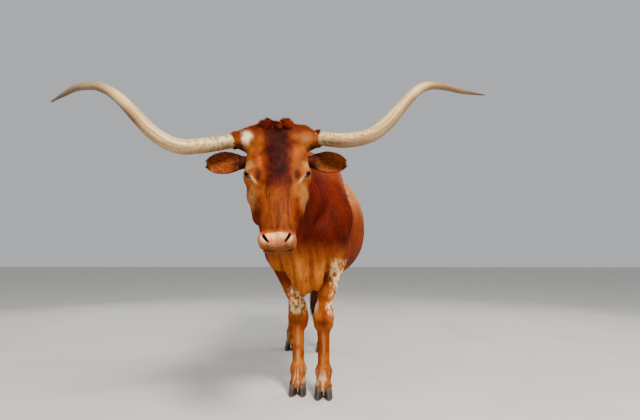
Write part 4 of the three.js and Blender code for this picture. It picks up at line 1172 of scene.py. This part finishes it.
def make_horn(side, name):
    t = np.linspace(0, 1, HORN_ROWS) ** 0.97
    s = along_stations(HORNS[side], t)
    centre = s[:, :3] * [side, 1, 1]
    w = units(np.gradient(centre, axis=0))
    u = units(Z - w * w[:, 2:3])
    v = np.cross(w, u)
    angle = np.linspace(0, 2 * np.pi, HORN_SIDES, endpoint=False)
    run = np.concatenate([[0], np.cumsum(np.linalg.norm(np.diff(centre, axis=0), axis=1))])
    T, A = np.meshgrid(t, angle, indexing="ij")
    R = np.broadcast_to(run[:, None], T.shape)
    around = np.stack([np.cos(A) * 26, np.sin(A) * 26, R], -1).reshape(-1, 3)
    ridge = (noise(around, (7, 7, 130)) - 0.5).reshape(T.shape)
    wave = noise(around + 300, (70, 70, 5.5)).reshape(T.shape) - 0.5
    chips = noise(around + 900, (9, 9, 22)).reshape(T.shape) - 0.5
    base = ramp(0.30, 0.02, T)
    growth = np.abs(np.sin(R / 4.1 + 2.2 * noise(around, (40, 40, 60)).reshape(T.shape) * np.pi)) ** 0.6
    radius = s[:, 3:4] / 2 - 1.2 + ridge * (1.8 - T) + wave * 3.0 * base + chips * 1.3 * (1 - T)
    radius = radius + 0.9 * (growth - 0.6) * base
    radius = radius * np.where(T > 0.99, np.sqrt(np.maximum(1 - ((T - 0.99) / 0.0101) ** 2, 0.02)), 1)
    local = centre[:, None] + u[:, None] * (np.cos(A) * radius)[..., None]
    local = local + v[:, None] * (np.sin(A) * radius)[..., None]
    p = POLL + local.reshape(-1, 3) @ HEAD_AXES
    faces = tube_faces(HORN_ROWS, HORN_SIDES)
    horn = make_mesh(name, p, faces if side < 0 else faces[:, ::-1])
    normal = units(p - (POLL + np.repeat(centre, HORN_SIDES, axis=0) @ HEAD_AXES))
    under = ramp(0.35, -0.6, normal[:, 2])
    tone = noise(around + 40, (34, 34, 90))
    streak = noise(around + 7, (4.5, 4.5, 150))
    T = T.ravel()
    c = blend(tint(238, 206, 142), tint(196, 148, 86), 0.42 + 0.9 * (tone - 0.5) + 0.25 * ramp(0.1, 0.5, T))
    c = blend(c, tint(150, 108, 60), 0.6 * ramp(0.5, 0.85, streak) * ramp(0.03, 0.3, T))
    # The underside darkened: partly the horn's own brown, partly painted shade.
    c = blend(c, tint(70, 48, 22), 0.9 * under * (0.6 + 0.5 * tone) * ramp(0.0, 0.05, T))
    crack = ramp(0.6, 0.74, noise(around + 77, (12, 12, 2.6))) * ramp(0.34, 0.03, T)
    c = blend(c, tint(84, 50, 26), 0.85 * crack)
    flake = ramp(0.6, 0.75, noise(around + 177, (3.2, 3.2, 34))) * ramp(0.6, 0.2, T)
    c = blend(c, tint(150, 104, 56), 0.7 * flake)
    c = blend(c, tint(100, 74, 38), 0.9 * ramp(0.55, 0.84, T) * (0.6 + 0.6 * tone))
    c = blend(c, tint(48, 38, 26), 0.9 * ramp(0.84, 1.0, T))
    c = blend(c, tint(120, 70, 40), 0.6 * ramp(0.016, 0.0, T))
    paint(horn, c)
    horn.data.materials.append(HORN)
    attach(horn, "root")
    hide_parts(name)


for side, word in WORDS.items():
    make_horn(side, "horn_" + word)


# Hooves, as in the part's source: two claws to a foot and two dewclaws above them, with finer growth rings
CLAW_LENGTH = 62
CLAW_WIDTH = 50
CLAW_CLEFT = 3
CLAW_LEAN = 14
SOLE_TOP = CORONET_HEIGHT - 4
CLAW_SIDES = 40
CLAW_ROWS = 26
DEWCLAW_ROWS = 14
DEWCLAW_SIDES = 24
HOOF_EDGE = math.radians(50)


def claw_points(foot, inner):
    t = np.linspace(0, 1, CLAW_ROWS)[:, None]
    a = np.linspace(0, 2 * np.pi, CLAW_SIDES, endpoint=False)[None]
    toe = 1.03 + 0.15 * np.cos(a)
    sole = 0.95 + 0.05 * ramp(0, 0.08, t)
    rings = 0.994 + 0.006 * np.sin(t * 34 + 2 * np.sin(a)) * ramp(0.05, 0.2, t) * ramp(1, 0.9, t)
    size = (1 - 0.16 * t) * sole * rings
    y = -np.cos(a) * CLAW_LENGTH * size * toe
    around = 0.5 + 0.5 * np.sin(a) * np.abs(np.sin(a)) ** 0.2
    x = CLAW_CLEFT + (around - 0.5) * CLAW_WIDTH * (1 - 0.1 * t) * rings * 0.985
    x = x + 0.5 * CLAW_WIDTH * (1 - 0.1 * t)
    x = x + np.maximum(np.cos(a), 0) * 4 * (1 - t)
    z = t * SOLE_TOP + 0 * a
    return np.stack([foot[0] + inner * x, foot[1] - 26 + y + CLAW_LEAN * t, z], -1), t + 0 * a


def dewclaw_points(foot, across, back):
    t = np.linspace(0, 1, DEWCLAW_ROWS)[:, None]
    a = np.linspace(0, 2 * np.pi, DEWCLAW_SIDES, endpoint=False)[None]
    size = np.sqrt(np.maximum(1 - (t * 0.93) ** 3, 0)) * (0.985 + 0.015 * np.sin(t * 24))
    x = foot[0] + across * 21 + np.cos(a) * 12.5 * size
    y = foot[1] + back - 8 + t * 29 + 0 * a
    z = FETLOCK_HEIGHT - 14 - t * 12 + np.sin(a) * 16 * size
    return np.stack([x, y, z], -1), 0.35 * t + 0.3 + 0 * a


def make_hoof(name, rings, tone):
    rows, sides = rings.shape[:2]
    ends = rings[[0, -1]].mean(1)
    p = np.vstack([rings.reshape(-1, 3), ends])
    quads = tube_faces(rows, sides)
    faces = np.vstack([quads[:, [0, 1, 2]], quads[:, [0, 2, 3]]])
    k = np.arange(sides)
    after = (k + 1) % sides
    low = np.stack([0 * k + len(p) - 2, after, k], 1)
    high = np.stack([0 * k + len(p) - 1, (rows - 1) * sides + k, (rows - 1) * sides + after], 1)
    faces = np.vstack([faces, low, high])
    a, b, c = (p[faces[:, k]] - p.mean(0) for k in range(3))
    if np.einsum("ij,ij->", a, np.cross(b, c)) < 0:
        faces = faces[:, ::-1]
    hoof = make_mesh(name, p, faces)
    t = np.concatenate([tone.ravel(), [0, tone.max()]])
    c = blend(tint(58, 42, 30), tint(104, 78, 54), ramp(0.45, 1.0, t) * 0.8)
    c = blend(c, tint(30, 22, 18), 0.7 * ramp(0.5, 0.8, noise(p, (7, 7, 44))))
    c = blend(c, tint(132, 108, 80), 0.5 * ramp(0.14, 0.0, t))
    paint(hoof, c)
    hoof.data.materials.append(HOOF)
    hoof.data.set_sharp_from_angle(angle=HOOF_EDGE)
    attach(hoof, "root")
    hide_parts(name)


for pair, feet, back in (("fore", FORE_FEET, 46), ("hind", HIND_FEET, 80)):
    for side, word in WORDS.items():
        for where, across in (("outer", side), ("inner", -side)):
            make_hoof(f"{word}_{pair}_claw_{where}", *claw_points(feet[side], across))
            make_hoof(f"{word}_{pair}_dewclaw_{where}", *dewclaw_points(feet[side], across, back))


# The coat
def lie(p, n):
    """The way the hair lies: a swirl on the forehead, back along the body, down the breast and legs."""
    a, dn, o = in_head(*p.T)
    x, y, z = p.T
    share = head_share(p)[:, None]
    u, v = a, dn - SWIRL_LEVEL
    r = np.maximum(np.hypot(u, v), 1)
    swirl = 0.9 * np.exp(-r / 90)
    across = (u * np.cos(swirl) - v * np.sin(swirl)) / r
    down = (u * np.sin(swirl) + v * np.cos(swirl)) / r
    below = ramp(200, 320, dn)
    across = across * (1 - 0.75 * below)
    down = down * (1 - below) + below
    back = -0.9 * ramp(0.2, 0.8, np.abs(n @ ACROSS)) - 0.9 * ramp(-130, -200, o)
    face = across[:, None] * ACROSS + down[:, None] * DOWN_FACE + back[:, None] * OUT_FACE
    neck = ramp(-620, -800, y)
    body = np.stack([0 * x, 1 - 0.25 * neck, -0.22 - 0.35 * neck], 1)
    breast = ramp(-0.3, -0.8, n[:, 1]) * ramp(-500, -700, y) * ramp(1000, 900, z)
    leg = np.maximum(ramp(760, 640, z) * (ramp(-440, -480, y) + ramp(380, 440, y)), breast)
    leg = np.maximum(leg, ramp(940, 952, y))
    leg = np.clip(leg + ramp(1000, 760, z) * ramp(520, 640, y), 0, 1)[:, None]
    body = body * (1 - leg) + np.array([0, 0.12, -1]) * leg
    d = face * share + body * (1 - share)
    return in_plane(d, n)


def in_plane(d, n):
    d = d - n * np.einsum("ij,ij->i", d, n)[:, None]
    return units(d)


def coat_sizes(p):
    """Length, width and spacing of the tufts, in millimetres, at points of the skin."""
    dn = in_head(*p.T)[1]
    _, y, z = p.T
    share = head_share(p)
    crest = ramp(110, 20, dn) * share
    muzzle = ramp(470, 540, dn) * share
    length = 23 - 10 * ramp(700, 500, z) + 2 * ramp(-650, -800, y)
    width = 4.0 - 1.4 * ramp(700, 500, z)
    space = 7.4 - 2.4 * ramp(700, 500, z) - 1.7 * ramp(-300, -700, y)
    length = length * (1 - share) + share * (11 + 9 * crest - 5 * muzzle)
    width = width * (1 - share) + share * (2.0 + 0.9 * crest - 0.8 * muzzle)
    space = space * (1 - share) + share * (3.4 + 0.3 * crest - 0.4 * muzzle)
    return length, width, space


def scatter(points, faces, normals, spacing, keep):
    """Random roots on the triangles, as many as their spacing asks for, with the skin's normals there."""
    a, b, c = (points[faces[:, k]] for k in range(3))
    area = np.linalg.norm(np.cross(b - a, c - a), axis=1) / 2
    middle = (a + b + c) / 3
    wanted = np.cumsum(area / spacing(middle) ** 2 * keep(middle))
    hits = np.searchsorted(wanted, np.arange(0.5, wanted[-1]))
    r = np.sqrt(RNG.random(len(hits)))[:, None]
    s = RNG.random(len(hits))[:, None]
    weights = np.hstack([1 - r, r * (1 - s), r * s])
    f = faces[hits]
    root = sum(points[f[:, k]] * weights[:, k : k + 1] for k in range(3))
    n = sum(normals[f[:, k]] * weights[:, k : k + 1] for k in range(3))
    return root, units(n)


# The unwrap on which each tuft finds its patch: charts by region and by the way the skin faces
PATCH = 0.003
HEAD, BODY, FORELEGS, HINDLEGS, TAIL_END = 0, 1, 2, 4, 6


def region_of(p):
    on_head = head_share(p) > 0.5
    leg = np.where(p[:, 1] < 0, FORELEGS, HINDLEGS) + (p[:, 0] > HIP_SWAY * (p[:, 1] > 0))
    region = np.where(on_head, HEAD, np.where(p[:, 2] < 700, leg, BODY))
    return np.where((p[:, 1] > 945) & ~on_head, TAIL_END, region)


def unwrap(p, n):
    """Places of skin points on the unwrap, each region and side of it laid flat in a place of its own."""
    region = region_of(p)
    axis = np.abs(n).argmax(1)
    facing = (n[np.arange(len(n)), axis] > 0).astype(int)
    chart = region * 6 + axis * 2 + facing
    flat = np.stack([np.where(axis == 0, p[:, 1], p[:, 0]), np.where(axis == 2, p[:, 1], p[:, 2])], 1)
    sizes = {c: np.ptp(flat[chart == c], axis=0) for c in np.unique(chart)}
    scale, corner = pack_charts(sizes)
    uv = np.zeros_like(flat)
    for c in sizes:
        on = chart == c
        uv[on] = corner[c] + (flat[on] - flat[on].min(0)) * scale
    return uv


def pack_charts(sizes):
    """The largest scale at which all charts fit on shelves in the unit square, and their corners."""
    order = sorted(sizes, key=lambda c: -sizes[c][1])
    scale = 1e-3
    while True:
        x, y, shelf, corner = PATCH, PATCH, 0, {}
        for c in order:
            w, h = sizes[c] * scale + 2 * PATCH
            if x + w > 1 - PATCH:
                x, y, shelf = PATCH, y + shelf, 0
            corner[c] = np.array([x + PATCH, y + PATCH])
            x, shelf = x + w, max(shelf, h)
        if y + shelf < 1 - PATCH:
            return scale, corner
        scale *= 0.97


MOST_TRIANGLES = 190000


def add_hair(name, corners, uv, normals, colours, material):
    """Closed tapered tufts: rings of three corners from the root on and a last one at the tip."""
    count, each = corners.shape[:2]
    rows = each // 3
    faces = [[2, 1, 0]]
    for r in range(0, 3 * rows - 3, 3):
        for i, j in ((0, 1), (1, 2), (2, 0)):
            faces += [[r + i, r + j, r + 3 + j], [r + i, r + 3 + j, r + 3 + i]]
    faces += [[each - 4 + i, each - 4 + j, each - 1] for i, j in ((0, 1), (1, 2), (2, 0))]
    patch = np.tile(np.array([[-1, -1], [1, -1], [0, 1]]) * PATCH * 0.45, (rows, 1))
    patch = np.vstack([patch * np.repeat(np.linspace(1, 0.4, rows), 3)[:, None], [[0, 0]]])
    step = MOST_TRIANGLES // len(faces)
    for piece, start in enumerate(range(0, count, step)):
        part = slice(start, min(start + step, count))
        p = corners[part].reshape(-1, 3)
        f = (np.array(faces)[None] + each * np.arange(len(p) // each)[:, None, None]).reshape(-1, 3)
        hair = make_mesh(f"{name}_{piece}", p, f)
        layer = hair.data.uv_layers.new(name="OFBake")
        spread = (uv[part, None] + patch[None]).reshape(-1, 2)
        layer.data.foreach_set("uv", spread[f.ravel()].astype(np.float32).ravel())
        paint(hair, np.repeat(colours[part], each, axis=0))
        hair.data.normals_split_custom_set_from_vertices(np.repeat(normals[part], each, axis=0))
        hair.data.materials.append(material)
        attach(hair, "root")


def flat_tufts(root, n, d, length, width, lift, sunk=0.8):
    """Short flat-lying tufts: a ridged wedge from a sunk root to a point a little off the skin."""
    half = np.cross(n, d) * (width / 2)[:, None]
    base = root - n * sunk
    ridge = base + n * (0.5 * width + sunk)[:, None] + d * (0.18 * length)[:, None]
    tip = root + (d + n * lift[:, None]) * length[:, None]
    return np.stack([base - half, base + half, ridge, tip], 1)


COVERED = 1.5
LOWEST_FUR = 52


def not_bare(p):
    return (bare_skin(p) < 0.3).astype(float)


def make_coat():
    """Tufts over the whole skin, except where a fold or the tops of the hooves cover it."""
    skin_normals = vertex_normals(points, triangles)
    root, n = scatter(points, triangles, skin_normals, lambda p: coat_sizes(p)[2], not_bare)
    hidden = (field_at(root + n * 9) < COVERED) | (root[:, 2] < LOWEST_FUR)
    root, n = root[~hidden], n[~hidden]
    length, width, _ = coat_sizes(root)
    length = length * RNG.uniform(0.7, 1.2, len(root))
    width = width * RNG.uniform(0.7, 1.3, len(root))
    turn = RNG.normal(0, 0.16, len(root)) + 0.7 * (noise(root, 46) - 0.5)
    d = lie(root, n)
    cross = np.cross(n, d)
    d = d * np.cos(turn)[:, None] + cross * np.sin(turn)[:, None]
    crest = ramp(130, 60, in_head(*root.T)[1]) * head_share(root)
    lift = RNG.uniform(0.02, 0.11, len(root)) + crest * RNG.uniform(0.05, 0.32, len(root))
    tufts = flat_tufts(root, n, d, length, width, lift)
    colours = coat_colour(root + d * (length * 0.4)[:, None])
    colours = colours * (1 + 0.5 * (RNG.random(len(root)) - 0.5) + 0.3 * (noise(root, 7) - 0.5))[:, None]
    soft = n + 0.2 * cross * RNG.normal(0, 1, (len(root), 1)) + 0.15 * d * RNG.normal(0, 1, (len(root), 1))
    soft = units(soft)
    order = np.argsort(root[:, 1], kind="stable")
    uv = unwrap(root, n)
    add_hair("fur", tufts[order], uv[order], soft[order], colours[order], TUFT)


make_coat()


# Longer hair: the tuft of the poll, the rims and cups of the ears, lashes and the switch of the tail
def strands(root, leave, end, face, length, width, rows, waves=0.0):
    """Tapered three-sided strands that leave one way and bend to another, waving a little."""
    t = np.linspace(0, 1, rows)
    step = length / (rows - 1)
    p = root.copy()
    corners = []
    phase = RNG.uniform(0, 2 * np.pi, len(root))
    for r in range(rows):
        along = leave * (1 - t[r]) + end * t[r]
        cross = units(np.cross(face, along))
        along = units(along + cross * (waves * np.sin(phase + 7 * t[r]))[:, None])
        if r:
            p = p + along * step[:, None]
        proud = np.cross(along, cross)
        half = (width / 2 * (1 - 0.7 * t[r] ** 1.5))[:, None]
        if r < rows - 1:
            corners += [p - cross * half, p + cross * half, p + proud * half * 0.8]
    return np.stack([*corners, p], 1)


def rolled(v, size):
    """Directions, each turned a little at random."""
    return units(v + RNG.normal(0, size, v.shape))


TUFT_PART = -4
TUFT_HALF = 84
TUFT_CREST = (41, -80)
TUFT_RADIUS = 62


def make_poll_tuft(count=5000, locks=64):
    """Locks parted near the middle, standing up from the crest and falling forward over the forehead."""
    lock_u = RNG.uniform(-1, 1, locks)
    lock_u[: locks * 2 // 3] = RNG.choice([-0.36, 0.38], locks * 2 // 3) + RNG.normal(0, 0.2, locks * 2 // 3)
    lock_lift = np.radians(RNG.uniform(-16, 50, locks))
    pick = RNG.integers(0, locks, count)
    u = np.clip(lock_u[pick] + RNG.normal(0, 0.06, count), -1.05, 1.05)
    peak = np.maximum(spot(u + 0.36, 0 * u, 0.34, 1), spot(u - 0.42, 0 * u, 0.32, 1))
    lift = lock_lift[pick] + RNG.normal(0, 0.10, count)
    away = np.stack([0 * u, -np.cos(lift), np.sin(lift)], 1)
    ahead = np.stack([0 * u, np.sin(lift), np.cos(lift)], 1)
    sideways = np.stack([1 + 0 * u, 0 * u, 0 * u], 1)
    crest = np.stack([TUFT_PART + u * TUFT_HALF, 0 * u + TUFT_CREST[0], 0 * u + TUFT_CREST[1]], 1)
    root = settle(POLL + (crest + away * TUFT_RADIUS) @ HEAD_AXES, 3, 12.0)
    front = np.clip((np.degrees(lift) + 16) / 66, 0, 1)[:, None]
    lean = np.sign(lock_u[pick])[:, None] * (0.35 + 0.65 * np.abs(lock_u[pick]))[:, None]
    twist = RNG.normal(0, 0.22, locks)[pick][:, None]
    rise = RNG.uniform(0.7, 1.15, locks)[pick][:, None]
    leave = away * (0.5 + 0.6 * peak[:, None] - 0.15 * front) * rise + ahead * 0.4
    leave = leave + sideways * (0.55 * lean + twist)
    end = away * (0.35 * peak[:, None] - 0.15 - 0.45 * front) + ahead * (0.6 + 0.45 * front)
    end = end + sideways * (0.75 * lean + twist)
    leave, end = rolled(leave @ HEAD_AXES, 0.07), rolled(end @ HEAD_AXES, 0.10)
    size = RNG.uniform(0.75, 1.1, locks)[pick] * RNG.uniform(0.75, 1.1, count)
    length = (26 + 30 * front[:, 0] + 20 * peak) * size * (1 - 0.35 * np.abs(u))
    face = away @ HEAD_AXES
    hair = strands(root - face * 2, leave, end, face, length, RNG.uniform(1.1, 2.2, count), 6, 0.06)
    # Painted light and shade: the half of the tuft on the animal's left, towards the key light, is lighter
    # and the other half darker.
    colours = blend(tint(96, 26, 9), tint(176, 78, 28), RNG.random(count) ** 2 * 0.9 + 0.25 * (u > 0.0))
    colours = blend(colours, MAROON, 0.6 * (u < 0) * RNG.random(count))
    soft = rolled(face + 0.35 * leave, 0.12)
    add_hair("poll_hair", hair, unwrap(root, face), soft, colours**DEEPER, HAIR)


def make_ear_hair(side, count=2600):
    """A fringe on the rim and long tan hair inside the cup."""
    t = RNG.uniform(0.08, 0.97, count)
    a = np.clip(RNG.normal(0, 0.55, count), -1, 1)
    rim = RNG.random(count) < 0.45
    a = np.where(rim, np.sign(a) * RNG.uniform(0.9, 1.0, count), a)
    t = np.where(rim & (RNG.random(count) < 0.3), 0.97, t)
    root = np.array([ear_point(side, ti, ai, True) for ti, ai in zip(t, a)])
    tip = side * ACROSS
    outward = np.sign(a)[:, None] * DOWN_FACE
    rim_way = outward * (1.1 - t[:, None] ** 3) + tip * (0.5 + t[:, None]) + OUT_FACE * 0.15
    cup_way = tip * 0.8 + OUT_FACE * 0.9 - outward * 0.3 + DOWN_FACE * 0.25
    leave = rolled(np.where(rim[:, None], rim_way, cup_way), 0.18)
    end = rolled(leave + tip * 0.6 + DOWN_FACE * 0.25 - OUT_FACE * 0.25, 0.12)
    length = np.where(rim, RNG.uniform(6, 15, count), RNG.uniform(16, 34, count) * (1 - 0.5 * t))
    face = np.tile(OUT_FACE, (count, 1))
    hair = strands(root - leave * 1.5, leave, end, face, length, RNG.uniform(0.9, 1.7, count), 4, 0.05)
    inside = blend(tint(132, 48, 15), GOLD, RNG.random(count) * 0.45)
    colours = np.where(rim[:, None], RED, inside)
    colours = blend(colours, MAROON, np.where(rim, 0.5, 0.0) * RNG.random(count))
    # Painted shade: hair near the ear's root is darkened.
    colours = blend(colours, DUSK, 0.7 * ramp(0.3, 0.1, t))
    add_hair("ear_hair_" + WORDS[side], hair, unwrap(root, face), rolled(face, 0.25), colours, HAIR)


def make_ear_coat(side, count=5200):
    """Short hair on the back of the ear and lining its cup."""
    t = RNG.uniform(-0.1, 0.97, count)
    a = RNG.uniform(-1, 1, count)
    inner = RNG.random(count) < 0.45
    root = np.array([ear_point(side, *place) for place in zip(t, a, inner)])
    along = np.array([ear_point(side, *place) for place in zip(t + 0.01, a, inner)]) - root
    round_it = np.array([ear_point(side, *place) for place in zip(t, a + 0.01, inner)]) - root
    n = units(np.cross(along, round_it))
    outwards = np.where(inner, 1, -1) * np.sign(n @ OUT_FACE + 1e-9)
    n = n * outwards[:, None]
    d = in_plane(side * ACROSS + 0.35 * DOWN_FACE * np.sign(a)[:, None], n)
    length = RNG.uniform(7, 13, count)
    tufts = flat_tufts(root, n, d, length, RNG.uniform(1.4, 2.6, count), RNG.uniform(0.03, 0.14, count), 0.3)
    colours = np.where(inner[:, None], ear_colour(side, root), RED * 0.8) * RNG.uniform(0.75, 1.3, (count, 1))
    add_hair("ear_fur_" + WORDS[side], tufts, unwrap(root, n), n, colours, TUFT)


def make_horn_collar(side, count=1100):
    """Hair that grows over the root of the horn."""
    angle = RNG.uniform(0, 2 * np.pi, count)
    start = HORNS[side][0]
    radius = start[3] / 2 + RNG.uniform(-1, 5, count)
    ring = np.stack([np.cos(angle), np.sin(angle)], 1) * radius[:, None]
    local = np.column_stack([0 * angle + side * (HORN_ROOT - 4), start[1:3] + ring])
    root = POLL + local @ HEAD_AXES
    out = np.stack([0 * angle, np.cos(angle), np.sin(angle)], 1) @ HEAD_AXES
    leave = rolled(side * ACROSS + 0.28 * out, 0.10)
    end = rolled(side * ACROSS + 0.02 * out + 0.12 * DOWN_FACE, 0.1)
    hair = strands(root, leave, end, out, RNG.uniform(10, 25, count), RNG.uniform(1.2, 2.2, count), 4)
    colours = coat_colour(root) * RNG.uniform(0.6, 1.1, (count, 1))
    add_hair("horn_collar_" + WORDS[side], hair, unwrap(root, out), rolled(out, 0.2), colours, HAIR)


def make_lashes(side, count=130):
    """Lashes along the edge of the upper lid."""
    p = RNG.uniform(-0.95, 0.8, count) * LID_GAP[0]
    arch = np.maximum(1 - (p / LID_GAP[0]) ** 2, 0)
    q = LID_ARCH * arch + LID_GAP[1] * np.sqrt(arch) + 1
    r = np.sqrt(np.maximum((LID_RADIUS - 0.5) ** 2 - p * p - q * q, 9))
    root = EYES[side] + np.stack([p, q, r], 1) @ EYE_AXES[side]
    along, brow, gaze = EYE_AXES[side]
    leave = rolled(gaze + 0.1 * brow - 0.25 * along * np.sign(p)[:, None], 0.1)
    end = rolled(leave * 0.4 + gaze * 0.2 - 0.5 * brow - 0.15 * along, 0.12)
    face = np.tile(brow, (count, 1))
    hair = strands(root, leave, end, face, RNG.uniform(8, 15, count), np.full(count, 0.7), 5)
    colours = np.tile(tint(40, 18, 10), (count, 1))
    add_hair("lashes_" + WORDS[side], hair, unwrap(root, face), leave, colours, HAIR)


SWITCH_TOP = 676
SWITCH_TIP = 186


def make_switch(count=3800, locks=46):
    """The long wavy hair at the end of the tail."""
    x, y = TAIL[-1][:2]
    lock_angle = RNG.uniform(0, 2 * np.pi, locks)
    lock_level = np.sort(RNG.random(locks))
    pick = RNG.integers(0, locks, count)
    angle = lock_angle[pick] + RNG.normal(0, 0.16, count)
    level = np.clip(lock_level[pick] + RNG.normal(0, 0.03, count), 0, 1)
    away = np.stack([np.cos(angle), np.sin(angle), 0 * angle], 1)
    z = SWITCH_TOP - 12 - level * 150
    root = np.stack([x + 0 * z, y + 2 + 0 * z, z], 1) + away * 9
    spread = RNG.uniform(0.14, 0.30, locks)[pick][:, None]
    leave = rolled(-Z + away * spread, 0.04)
    end = rolled(-Z - away * 0.10, 0.05)
    length = np.minimum(RNG.uniform(230, 330, locks)[pick] * RNG.uniform(0.8, 1.02, count), z - SWITCH_TIP)
    hair = strands(root, leave, end, away, length, RNG.uniform(2.0, 4.0, count), 8, 0.10)
    colours = blend(tint(70, 26, 12), tint(150, 92, 48), RNG.random(count) ** 2)
    soft = rolled(away, 0.15)
    add_hair("tail_switch_hair", hair, unwrap(root, away), soft, colours, HAIR)


def hang_over_hooves(count=2200):
    """The fringe of hair that hangs over the coronet of each foot."""
    roots, ways = [], []
    for feet in (FORE_FEET, HIND_FEET):
        for foot in feet.values():
            angle = RNG.uniform(0, 2 * np.pi, count // 4)
            away = np.stack([np.cos(angle), np.sin(angle), 0 * angle], 1)
            centre = np.array([foot[0], foot[1] - (18 if feet is FORE_FEET else 8), CORONET_HEIGHT + 12.0])
            roots.append(centre + away * 34)
            ways.append(away)
    root, away = settle(np.vstack(roots), 4, 12.0), np.vstack(ways)
    leave = rolled(-Z + 0.5 * away, 0.1)
    end = rolled(-Z + 0.25 * away, 0.1)
    length = RNG.uniform(14, 26, len(root))
    hair = strands(root, leave, end, away, length, RNG.uniform(1.6, 2.8, len(root)), 4)
    colours = coat_colour(root) * RNG.uniform(0.75, 1.15, (len(root), 1))
    add_hair("coronet_hair", hair, unwrap(root, away), away, colours, HAIR)


make_poll_tuft()
make_switch()
hang_over_hooves()
for side in SIDES:
    make_ear_coat(side)
    make_ear_hair(side)
    make_horn_collar(side)
    make_lashes(side)
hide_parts("tail_switch")


# Camera, level with the animal's chest and tipped up to the horizon of the photo
PHOTO_WIDTH = 640
FOCAL_PIXELS = 450
CAMERA_PLACE = vec(196, -3285, 800)
CAMERA_YAW = 2.5
CAMERA_TIP = 5.84
SENSOR = 36


def make_camera():
    data = bpy.data.cameras.new("camera")
    data.sensor_width = SENSOR
    data.lens = FOCAL_PIXELS * SENSOR / PHOTO_WIDTH
    data.clip_end = 200
    camera = bpy.data.objects.new("camera", data)
    bpy.context.scene.collection.objects.link(camera)
    camera.location = placed(CAMERA_PLACE)
    look = turned(turned(Y, -X, CAMERA_YAW), Z, CAMERA_TIP)
    camera.rotation_euler = Vector(look).to_track_quat("-Z", "Y").to_euler()
    bpy.context.scene.camera = camera


# Studio: a paper floor, a pale sky and four soft lights, each with its place, size, power and colour
FLOOR_SIZE = 60
PAPER_TONES = (0.60, 0.58, 0.54, 1), (0.66, 0.64, 0.60, 1)
SKY = (0.80, 0.82, 0.85, 1)
SKY_STRENGTH = 0.62
LIGHT_AIM = (0, -0.6, 0.9)
LIGHTS = (
    ("key", (2.2, -4.6, 4.8), 1.4, 700, (1.0, 0.94, 0.86)),
    ("fill", (-3.8, -3.4, 1.8), 3.2, 80, (0.90, 0.94, 1.0)),
    ("rim", (3.2, 3.4, 3.4), 2.4, 90, (1.0, 0.97, 0.93)),
    ("back", (-3.4, 3.8, 3.0), 2.6, 70, (0.94, 0.96, 1.0)),
)


def make_stage():
    bpy.ops.mesh.primitive_plane_add(size=FLOOR_SIZE, location=(0, 0, 0))
    floor = bpy.context.object
    floor.name = "floor"
    paper = Nodes("floor")
    cloudy = paper.ranged(paper.noise(1.5, 6), 0.3, 0.7, 0, 1)
    tones = paper.mixed("MIX", cloudy, *PAPER_TONES)
    paper.link(tones, paper.shader.inputs["Base Color"])
    paper.set(Roughness=0.9)
    floor.data.materials.append(paper.material)
    world = bpy.data.worlds.new("world")
    bpy.context.scene.world = world
    world.use_nodes = True
    sky = world.node_tree.nodes["Background"].inputs
    sky[0].default_value = SKY
    sky[1].default_value = SKY_STRENGTH
    for name, place, size, power, colour in LIGHTS:
        data = bpy.data.lights.new(name, "AREA")
        data.size = size
        data.energy = power
        data.color = colour
        light = bpy.data.objects.new(name, data)
        bpy.context.scene.collection.objects.link(light)
        light.location = place
        look = Vector(LIGHT_AIM) - Vector(place)
        light.rotation_euler = look.to_track_quat("-Z", "Y").to_euler()


make_camera()
make_stage()
